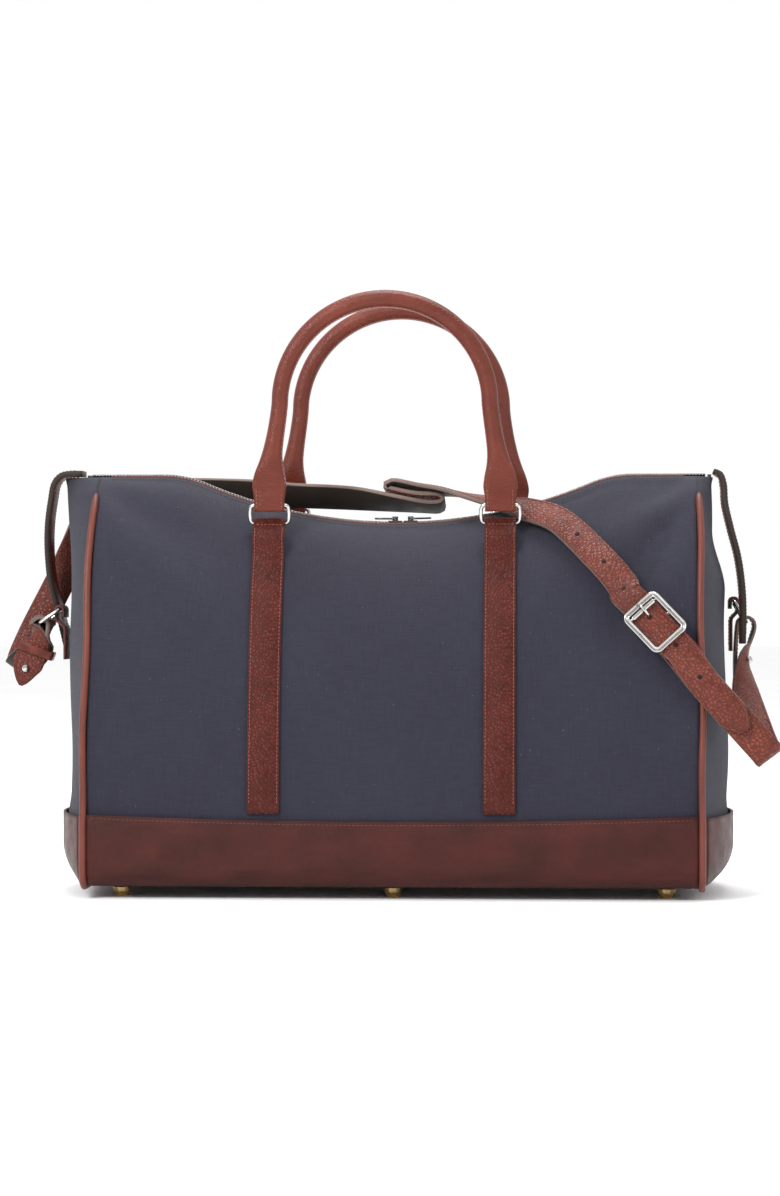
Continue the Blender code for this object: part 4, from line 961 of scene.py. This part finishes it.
def make_handle(name, x, side, body):
    y = side * UPPER_BAR[0]
    spine = handle_spine()
    rings, seams = [], [[], []]
    sides = 28
    for index, (reach, z, wide, deep) in enumerate(spine):
        before = spine[max(index - 1, 0)]
        after = spine[min(index + 1, len(spine) - 1)]
        heading = Vector((after[0] - before[0], after[1] - before[1])).normalized()
        if index in (0, len(spine) - 1):
            heading = Vector((0.0, 1.0 if index == 0 else -1.0))
        sideways = Vector((heading.y, -heading.x))
        square = smooth_step(wide / deep, 1.1, 2.5)
        ring = []
        for k in range(sides):
            angle = 2.0 * math.pi * (k + 0.5) / sides
            power = 1.0 - 0.6 * square
            c = math.copysign(abs(math.cos(angle)) ** power, math.cos(angle))
            s = math.copysign(abs(math.sin(angle)) ** power, math.sin(angle))
            crease = 1.0 - 0.045 * math.exp(-((angle - math.pi) / 0.16) ** 2) * (1.0 - square)
            spot = Vector((reach, z)) + sideways * wide * c * crease
            ring.append(Vector((x + spot.x, y + deep * s * crease, spot.y)))
        rings.append(ring)
        if 0.322 < z:
            for lane, (turn, push) in enumerate(((2.62, 0.999), (-2.62, 0.999))):
                c, s = math.cos(turn), math.sin(turn)
                power = 1.0 - 0.6 * square
                c2 = math.copysign(abs(c) ** power, c)
                s2 = math.copysign(abs(s) ** power, s)
                spot = Vector((reach, z)) + sideways * wide * c2 * push
                out = Vector((sideways.x * c / wide, s / deep, sideways.y * c / wide)).normalized()
                seams[lane].append((Vector((x + spot.x, y + deep * s2 * push, spot.y)) + out * 0.0001, out))
    runs = runs_of([Vector((row[0], row[1], 0.0)) for row in spine])
    skin(name + "_roll", rings, lambda j, i: (0.0428 * i / sides, runs[j]), lambda j, i: 0, [HANDLE_HIDE],
         body, (name,))
    stitches(name + "_stitching", seams, RED_THREAD, body, 0.0036, 0.0025, 0.00030)
    rows = []
    for hand in (-1, 1):
        for edge in (-1, 1):
            row = []
            for k in range(8):
                z = 0.3060 + 0.0022 * k
                row.append((Vector((x + hand * RING_REACH + edge * 0.0098, y + side * 0.00405, z)),
                            Vector((0.0, side, 0.0))))
            rows.append(row)
    stitches(name + "_tab_stitching", rows, RED_THREAD, body, 0.0030, 0.0021, 0.00024)


def make_handles():
    for row, side, middle in (("front", -1, FRONT_HANDLE_X), ("back", 1, BACK_HANDLE_X)):
        make_handle(row + "_handle", middle, side, row + "_handle_arch")
        for name, hand in (("left", -1), ("right", 1)):
            x = middle + hand * RING_REACH
            make_hanger(f"{row}_{name}_chape", x, side)
            make_ring(f"{row}_{name}_ring", x, side, row + "_rings")


# ---------------------------------------------------------------- straps and buckle

LEFT_STUD = (-0.3020, -0.0115, 0.1780)
RIGHT_STUD = (0.2810, 0.0030, 0.1850)
LEFT_RING = (-0.2735, -0.008, 0.2253)
RIGHT_RING = (0.2715, 0.013, 0.2322)
FRONT_ACROSS = (0.745, 0.0, 0.667)
BUCKLE_LIFT = 0.0114
BAR_DROP = 0.00655


def buckle_frame():
    """Placing of the buckle: X down the strap, Y across it and Z out from the bag."""
    middle = wall_at(0.2045, 0.2124, -1, BUCKLE_LIFT)
    out = (wall_at(0.2045, 0.2124, -1, 1.0) - wall_at(0.2045, 0.2124, -1)).normalized()
    along = Vector((0.667, 0.0, -0.745))
    along = (along - out * along.dot(out)).normalized()
    across = out.cross(along)
    turn = Matrix((along, across, out)).transposed().to_4x4()
    return Matrix.Translation(middle) @ turn


def ring_loop(centre, radius, angles, across):
    """Stations round a bar in the upright plane along the bag."""
    stations = []
    for degrees in angles:
        angle = math.radians(degrees)
        offset = Vector((radius * math.cos(angle), 0.0, radius * math.sin(angle)))
        stations.append((Vector(centre) + offset, across))
    return stations


def laid(x, z, side, out, heading):
    """Station of a strap that lies flat on the front or the back."""
    normal = (wall_at(x, z, side, 1.0) - wall_at(x, z, side)).normalized()
    across = normal.cross(heading).normalized()
    return wall_at(x, z, side, out), across


def long_strap_stations(buckle):
    across_end = (0.94, 0.0, -0.35)
    twist = (0.70, -0.70, -0.20)
    stations = [((-0.3065, -0.0115, 0.1640), across_end),
                (LEFT_STUD, across_end),
                ((-0.2970, -0.0113, 0.1895), across_end),
                ((-0.2950, -0.0113, 0.1968), across_end),
                ((-0.2948, -0.0106, 0.2045), twist)]
    stations += ring_loop((-0.2893, -0.008, 0.2128), 0.0070, (190, 145, 90, 35, -10), (0.0, -1.0, 0.0))
    rise = (0.886, 0.0, -0.466)
    fold = (0.82, 0.0, -0.57)
    stations += [((-0.2876, -0.0048, 0.2045), twist),
                 ((-0.2925, -0.0044, 0.1968), across_end),
                 ((-0.2962, -0.0043, 0.1905), across_end),
                 ((-0.3020, -0.0040, 0.1850), (0.90, 0.0, -0.43)),
                 ((-0.3085, -0.0010, 0.1798), fold),
                 ((-0.3107, 0.0050, 0.1775), fold),
                 ((-0.3100, 0.0110, 0.1800), fold),
                 ((-0.3085, 0.0180, 0.1885), rise),
                 ((-0.3020, 0.0320, 0.2080), rise),
                 ((-0.2940, 0.0395, 0.2260), rise),
                 ((-0.2819, 0.0425, 0.2505), rise),
                 ((-0.2690, 0.0440, 0.2800), (0.80, 0.35, -0.45)),
                 ((-0.2590, 0.0475, 0.3060), (0.50, 0.75, -0.45)),
                 ((-0.2430, 0.0500, 0.3190), (0.15, 0.78, -0.60)),
                 ((-0.2150, 0.0490, 0.3215), (0.0, 0.76, -0.65)),
                 ((-0.1800, 0.0460, 0.3228), (0.0, 0.50, -0.87)),
                 ((-0.1400, 0.0400, 0.3220), (0.0, 0.50, -0.87)),
                 ((-0.1100, 0.0305, 0.3208), (0.0, 0.60, -0.80)),
                 ((-0.0850, 0.0260, 0.3190), (0.0, 0.68, -0.73)),
                 ((-0.0400, 0.0215, 0.3168), (0.0, 0.72, -0.69)),
                 ((-0.0050, 0.0200, 0.3128), (0.0, 0.88, -0.47))]
    flat = (0.0, 0.95, -0.31)
    stations += [((0.0180, 0.0200, 0.3100), flat),
                 ((0.0320, 0.0200, 0.3096), flat),
                 ((0.0358, 0.0207, 0.3128), flat),
                 ((0.0320, 0.0214, 0.3160), flat),
                 ((0.0140, 0.0216, 0.3168), flat),
                 ((-0.0060, 0.0220, 0.3195), (0.0, 0.90, -0.43)),
                 ((-0.0100, 0.0226, 0.3228), (0.0, 0.90, -0.43)),
                 ((-0.0050, 0.0226, 0.3262), (0.0, 0.90, -0.43)),
                 ((0.0160, 0.0216, 0.3236), flat),
                 ((0.0400, 0.0120, 0.3215), (0.35, 0.90, -0.15)),
                 ((0.0620, -0.0080, 0.3165), (0.60, 0.80, 0.0)),
                 ((0.0830, -0.0260, 0.3115), (0.45, 0.82, 0.25)),
                 ((0.1040, -0.0365, 0.3060), (0.38, 0.66, 0.60))]
    down_front = Vector((0.667, 0.0, -0.745))
    stations += [laid(0.1313, 0.2927, -1, 0.0048, Vector((0.85, 0.0, -0.50))),
                 laid(0.1628, 0.2633, -1, 0.0056, down_front),
                 laid(0.1790, 0.2440, -1, 0.0074, down_front)]
    frame_across = buckle.col[1].to_3d()
    stations.append((buckle @ Vector((-0.033, 0.0, -0.0016)), frame_across))
    for run in (-0.024, 0.0, 0.024, 0.033):
        stations.append((buckle @ Vector((run, 0.0, 0.0)), frame_across))
    front = -0.1122
    stations += [((0.2408, front, 0.1712), FRONT_ACROSS),
                 ((0.2580, front, 0.1516), FRONT_ACROSS),
                 ((0.2755, front, 0.1315), FRONT_ACROSS)]
    return stations


def short_strap_stations(buckle):
    sideways = (0.0, 1.0, 0.0)
    stations = [((0.2727, 0.0130, 0.1640), sideways),
                ((0.2729, 0.0130, 0.1900), sideways)]
    stations += ring_loop((0.2813, 0.0130, 0.2128), 0.0070, (185, 135, 90, 45, -5), sideways)
    stations += [((0.2850, 0.0110, 0.2000), sideways),
                 (RIGHT_STUD, (0.25, 0.96, 0.10)),
                 ((0.2800, -0.0300, 0.1560), (0.62, 0.72, 0.30)),
                 ((0.2850, -0.0680, 0.1320), (0.75, 0.35, 0.50)),
                 ((0.2905, -0.0940, 0.1160), (0.80, 0.0, 0.60)),
                 ((0.2938, -0.0985, 0.1125), (0.80, 0.0, 0.60)),
                 ((0.2935, -0.1035, 0.1128), (0.80, 0.0, 0.60)),
                 ((0.2890, -0.1073, 0.1175), (0.77, 0.0, 0.64)),
                 ((0.2755, -0.1078, 0.1325), FRONT_ACROSS),
                 ((0.2580, -0.1078, 0.1520), FRONT_ACROSS),
                 ((0.2408, -0.1076, 0.1712), FRONT_ACROSS)]
    across = buckle.col[1].to_3d()
    low = -BAR_DROP - 0.00305
    stations.append((buckle @ Vector((0.026, 0.0, low)), across))
    stations.append((buckle @ Vector((0.008, 0.0, low)), across))
    for degrees in (270, 225, 180, 135, 90):
        angle = math.radians(degrees)
        spot = Vector((0.00305 * math.cos(angle), 0.0, -BAR_DROP + 0.00305 * math.sin(angle)))
        stations.append((buckle @ spot, across))
    for run in (0.008, 0.026):
        stations.append((buckle @ Vector((run, 0.0, -BAR_DROP + 0.00305)), across))
    return stations


def make_straps(buckle):
    path = smooth_path(long_strap_stations(buckle))
    widths = tongue(path, STRAP_HALF, 0.017, (0, 1))
    runs = runs_of([point for point, _ in path])
    hidden = next(run for run, (point, _) in zip(runs, path) if point.z > 0.312)
    ribbon("long_strap", path, widths, STRAP_THICK, [STRAP_HIDE, RAW_EDGE, BACKING], "bag",
           ("shoulder_strap",), swap=hidden)
    rows = edge_rows(path, widths, STRAP_THICK, STRAP_SEAM, until=(hidden, runs[-1]))
    stitches("long_strap_stitching", rows, BROWN_THREAD, "bag", *STRAP_STITCH)
    rows = edge_rows(path, widths, STRAP_THICK, STRAP_SEAM, face=-1, until=(0.0, hidden))
    stitches("strap_end_stitching", rows, BROWN_THREAD, "bag", *STRAP_STITCH)
    pin = buckle @ Vector((-0.0066, 0.0, 0.0))
    index = min(range(len(path)), key=lambda i: (path[i][0] - pin).length)
    home = runs[index]
    rims = []
    for step in (-3, -2, -1, 0, 1, 2):
        spot = min(range(1, len(path) - 1), key=lambda i: abs(runs[i] - home - step * 0.031))
        out = (path[spot + 1][0] - path[spot - 1][0]).cross(path[spot][1]).normalized()
        rims.append((path[spot][0], out, path[spot][1]))
    # painted shade: near-black discs stand in the strap's holes, where only shade is seen
    mesh = bpy.data.meshes.new("strap_holes")
    shape = bmesh.new()
    for point, out, across in rims:
        along = across.cross(out)
        turn = Matrix((along, across, out)).transposed().to_4x4()
        bmesh.ops.create_cone(shape, cap_ends=True, segments=20, radius1=0.0017, radius2=0.0019, depth=0.0044,
                              matrix=Matrix.Translation(point) @ turn)
    shape.to_mesh(mesh)
    shape.free()
    piece("strap_hole_shade_discs", mesh, [HOLE_SHADE], "bag")

    path = smooth_path(short_strap_stations(buckle))
    widths = tongue(path, STRAP_HALF, 0.014, (0,))
    runs = runs_of([point for point, _ in path])
    turn = next(run for run, (point, _) in zip(runs, path) if point.x > 0.2900 and point.y < -0.0960)
    ribbon("short_strap", path, widths, SHORT_THICK, [BACKING, RAW_EDGE, STRAP_HIDE], "bag",
           ("buckle_strap",), swap=turn)
    rows = edge_rows(path, widths, SHORT_THICK, STRAP_SEAM, face=-1)
    stitches("short_strap_stitching", rows, BROWN_THREAD, "bag", *STRAP_STITCH)


def make_buckle(buckle):
    level = 0.0043
    roller = -0.0134
    corner = 0.0040
    section = ((-0.0023, -0.0010), (-0.0023, 0.0006), (-0.0018, 0.0013), (-0.0011, 0.0014),
               (-0.0005, -0.0003), (0.0005, -0.0003), (0.0011, 0.0014), (0.0018, 0.0013),
               (0.0023, 0.0006), (0.0023, -0.0010), (0.0015, -0.0014), (-0.0015, -0.0014))
    rings = []
    spine = []
    for quarter, (cx, cy) in enumerate(((1, 1), (-1, 1), (-1, -1), (1, -1))):
        for step in range(9):
            angle = math.radians(90.0 * quarter + 11.25 * step)
            out = Vector((math.cos(angle), math.sin(angle)))
            spine.append((Vector((cx * (0.0182 - corner), cy * (0.01525 - corner))) + out * corner, out))
    for point, out in spine:
        rings.append([buckle @ Vector((point.x + out.x * a, point.y + out.y * a, level + b))
                      for a, b in section])
    skin("buckle_rim", rings, lambda j, i: (0.0005 * i, 0.002 * j), lambda j, i: 0, [NICKEL], "bag",
         ("buckle_frame",), cyclic=True)
    for hand in (-1, 1):
        post = [buckle @ Vector((0.0, hand * 0.0152, z))
                for z in (0.0040, 0.0010, -0.0020, -0.0050, -BAR_DROP)]
        rod("buckle_post_" + ("near" if hand < 0 else "far"), post, 0.0013, [NICKEL], "bag", sides=12)
    bar = [buckle @ Vector((0.0, y, -BAR_DROP)) for y in (-0.0160, -0.008, 0.0, 0.008, 0.0160)]
    rod("buckle_bar", bar, WIRE, [NICKEL], "bag", sides=14)
    pin = [buckle @ Vector((roller, y, level)) for y in (-0.0140, -0.007, 0.0, 0.007, 0.0140)]
    rod("roller_pin", pin, 0.0010, [NICKEL], "bag", sides=12)
    roll = [buckle @ Vector((roller, y, level))
            for y in (-0.0110, -0.0106, -0.005, 0.0, 0.005, 0.0106, 0.0110)]
    rod("roller_sleeve", roll, 0.0020, [NICKEL], "roller", ("buckle_roller",), sides=20)
    points = []
    for degrees in (-160, -110, -60, -10, 40, 90, 140, 175):
        angle = math.radians(degrees)
        points.append(Vector((0.0028 * math.cos(angle), 0.0, -BAR_DROP + 0.0028 * math.sin(angle))))
    for run, height in ((-0.0052, -0.0036), (-0.0066, -0.0014), (-0.0067, 0.0018), (-0.0076, 0.0052),
                        (-0.0110, 0.0078), (-0.0168, 0.0078)):
        points.append(Vector((run, 0.0, height)))
    rod("prong_wire", through([buckle @ point for point in points], 4), 0.0011, [NICKEL], "prong",
        ("buckle_prong",), sides=12)


def make_ends():
    """Side rings with their hangers, the zip's end tabs and the keeper."""
    for name, side, pivot, dip, body in (("left", -1, LEFT_RING, 33.0, "bag"),
                                         ("right", 1, RIGHT_RING, 60.0, "right_ring_swing")):
        pivot = Vector(pivot)
        s = pivot.y / 0.095
        t_foot = min((k / 400.0 for k in range(400)), key=lambda t: abs(end_wall(s, t, side).z - pivot.z))
        foot = end_wall(0.0, t_foot, side, 0.0011)
        foot.y = pivot.y
        gap_out = abs(pivot.x - foot.x)
        normal = Vector((side, 0.0, 0.0))
        down = Vector((0.0, 0.0, -1.0))
        points = []
        for k in range(18):
            run = 0.040 * (1.0 - k / 18.0)
            points.append((Vector((foot.x, foot.y, pivot.z - run)), normal, run, gap_out))
        path = [(p, Vector((0.0, side, 0.0))) for p in hanger_path(pivot, normal, down, points, 0.006, 0.008)]
        halves = [STRAP_HALF] * len(path)
        ribbon(name + "_side_strip", path, halves, LEATHER, [TRIM_HIDE, DARK_EDGE, BACKING], "bag",
               (name + "_side_chape",), groove=0.0016)
        stitches(name + "_side_stitching", edge_rows(path, halves, LEATHER, TRIM_SEAM, until=(0.001, 0.034)),
                 RED_THREAD, "bag", *TRIM_STITCH)
        angle = math.radians(dip)
        aim = Vector((side * math.cos(angle), 0.0, -math.sin(angle)))
        outline = ((0.0, -0.0080), (0.0, -0.0128), (0.0014, -0.0149), (0.0060, -0.0156), (0.0130, -0.0156),
                   (0.0170, -0.0145), (0.0187, -0.0118), (0.0195, -0.0050))
        loop = [pivot + aim * run + Vector((0.0, y, 0.0)) for run, y in outline]
        loop += [pivot + aim * run - Vector((0.0, y, 0.0)) for run, y in reversed(outline)]
        rod(name + "_side_wire", through(loop, 4, True), WIRE, [NICKEL], body, (name + "_side_ring",),
            cyclic=True, sides=16, hub=aim.cross(Vector((0.0, 1.0, 0.0))))

    left = ((-0.2560, 0.0, 0.3360), (-0.2640, 0.0, 0.3360), (-0.2730, 0.0, 0.3345), (-0.2790, 0.0, 0.3280),
            (-0.2822, 0.003, 0.3150), (-0.2855, 0.008, 0.2960), (-0.2868, 0.014, 0.2750),
            (-0.2855, 0.020, 0.2500), (-0.2800, 0.0235, 0.2260), (-0.2718, 0.0235, 0.1915))
    right = ((0.2560, 0.0, 0.3360), (0.2600, -0.001, 0.3335), (0.2625, -0.003, 0.3250),
             (0.2635, -0.006, 0.3100), (0.2678, -0.011, 0.2900), (0.2737, -0.016, 0.2650),
             (0.2768, -0.0205, 0.2350), (0.2768, -0.0215, 0.1985))
    for name, places in (("left", left), ("right", right)):
        side = -1.0 if name == "left" else 1.0
        path = smooth_path([(place, (0.0, -side, 0.0)) for place in places])
        halves = [STRAP_HALF] * len(path)
        ribbon(name + "_tab_strip", path, halves, 0.0046, [STRAP_HIDE, BACKING, BACKING], name + "_tab",
               (name + "_zip_tab",))
        for face in (-1, 1):
            stitches(f"{name}_tab_stitching_{'out' if face > 0 else 'in'}",
                     edge_rows(path, halves, 0.0046, 0.0022, face=face), BROWN_THREAD, name + "_tab",
                     0.0030, 0.0021, 0.00026)

    across = Vector((0.94, 0.0, -0.35)).normalized()
    out = Vector((0.0, 1.0, 0.0))
    along = across.cross(out).normalized()
    middle = Vector((-0.2952, -0.0079, 0.1928))
    rings = []
    for quarter, (cx, cy) in enumerate(((1, 1), (-1, 1), (-1, -1), (1, -1))):
        for step in range(6):
            angle = math.radians(90.0 * quarter + 18.0 * step)
            turn = across * math.cos(angle) + out * math.sin(angle)
            spot = middle + across * cx * 0.0138 + out * cy * 0.0056 + turn * 0.0018
            rings.append([spot + along * a + turn * b for a, b in
                          ((-0.0034, -0.0005), (-0.0034, 0.0005), (-0.0030, 0.0008), (0.0030, 0.0008),
                           (0.0034, 0.0005), (0.0034, -0.0005), (0.0030, -0.0007), (-0.0030, -0.0007))])
    skin("keeper_band", rings, lambda j, i: (0.001 * i, 0.003 * j), lambda j, i: 0, [STRAP_HIDE], "bag",
         ("strap_keeper",), cyclic=True)


def make_hardware():
    for node in [f"foot_{row}_{name}" for row in ("front", "back") for name in ("left", "middle", "right")]:
        dress(node, BRASS, 0.0008)
    for node in ("left_strap_stud", "right_strap_stud"):
        dress(node, NICKEL, 0.0004)
    dress("base_board", BOARD, 0.0006)
    for obj in NODES.values():
        obj.data.shade_smooth()


# painted shade for the strap holes: a near-black leather look
HOLE_SHADE = hide("hole_painted_shade", srgb(22, 14, 12), srgb(30, 20, 17), 0.0006, 0.00004, 0.8, coords="Object")

make_canvas()
make_base()
make_piping()
make_lining()
make_zip()
make_handles()
BUCKLE = buckle_frame()
make_straps(BUCKLE)
make_buckle(BUCKLE)
make_ends()
make_hardware()


# ---------------------------------------------------------------- floor

def make_floor():
    mesh = bpy.data.meshes.new("floor")
    corners = [(-9.0, -5.0, 0.0), (9.0, -5.0, 0.0), (9.0, 13.0, 0.0), (-9.0, 13.0, 0.0)]
    mesh.from_pydata(corners, [], [(0, 1, 2, 3)])
    look = Look("studio_floor", "Object")
    faint = look.cloud(3.0, 3.0)
    colour = look.mix(look.span(faint, 0.3, 0.7), (0.93, 0.93, 0.93, 1.0), (0.96, 0.96, 0.96, 1.0))
    mesh.materials.append(look.finish(colour, 0.6))
    floor = bpy.data.objects.new("floor", mesh)
    scene.collection.objects.link(floor)


make_floor()
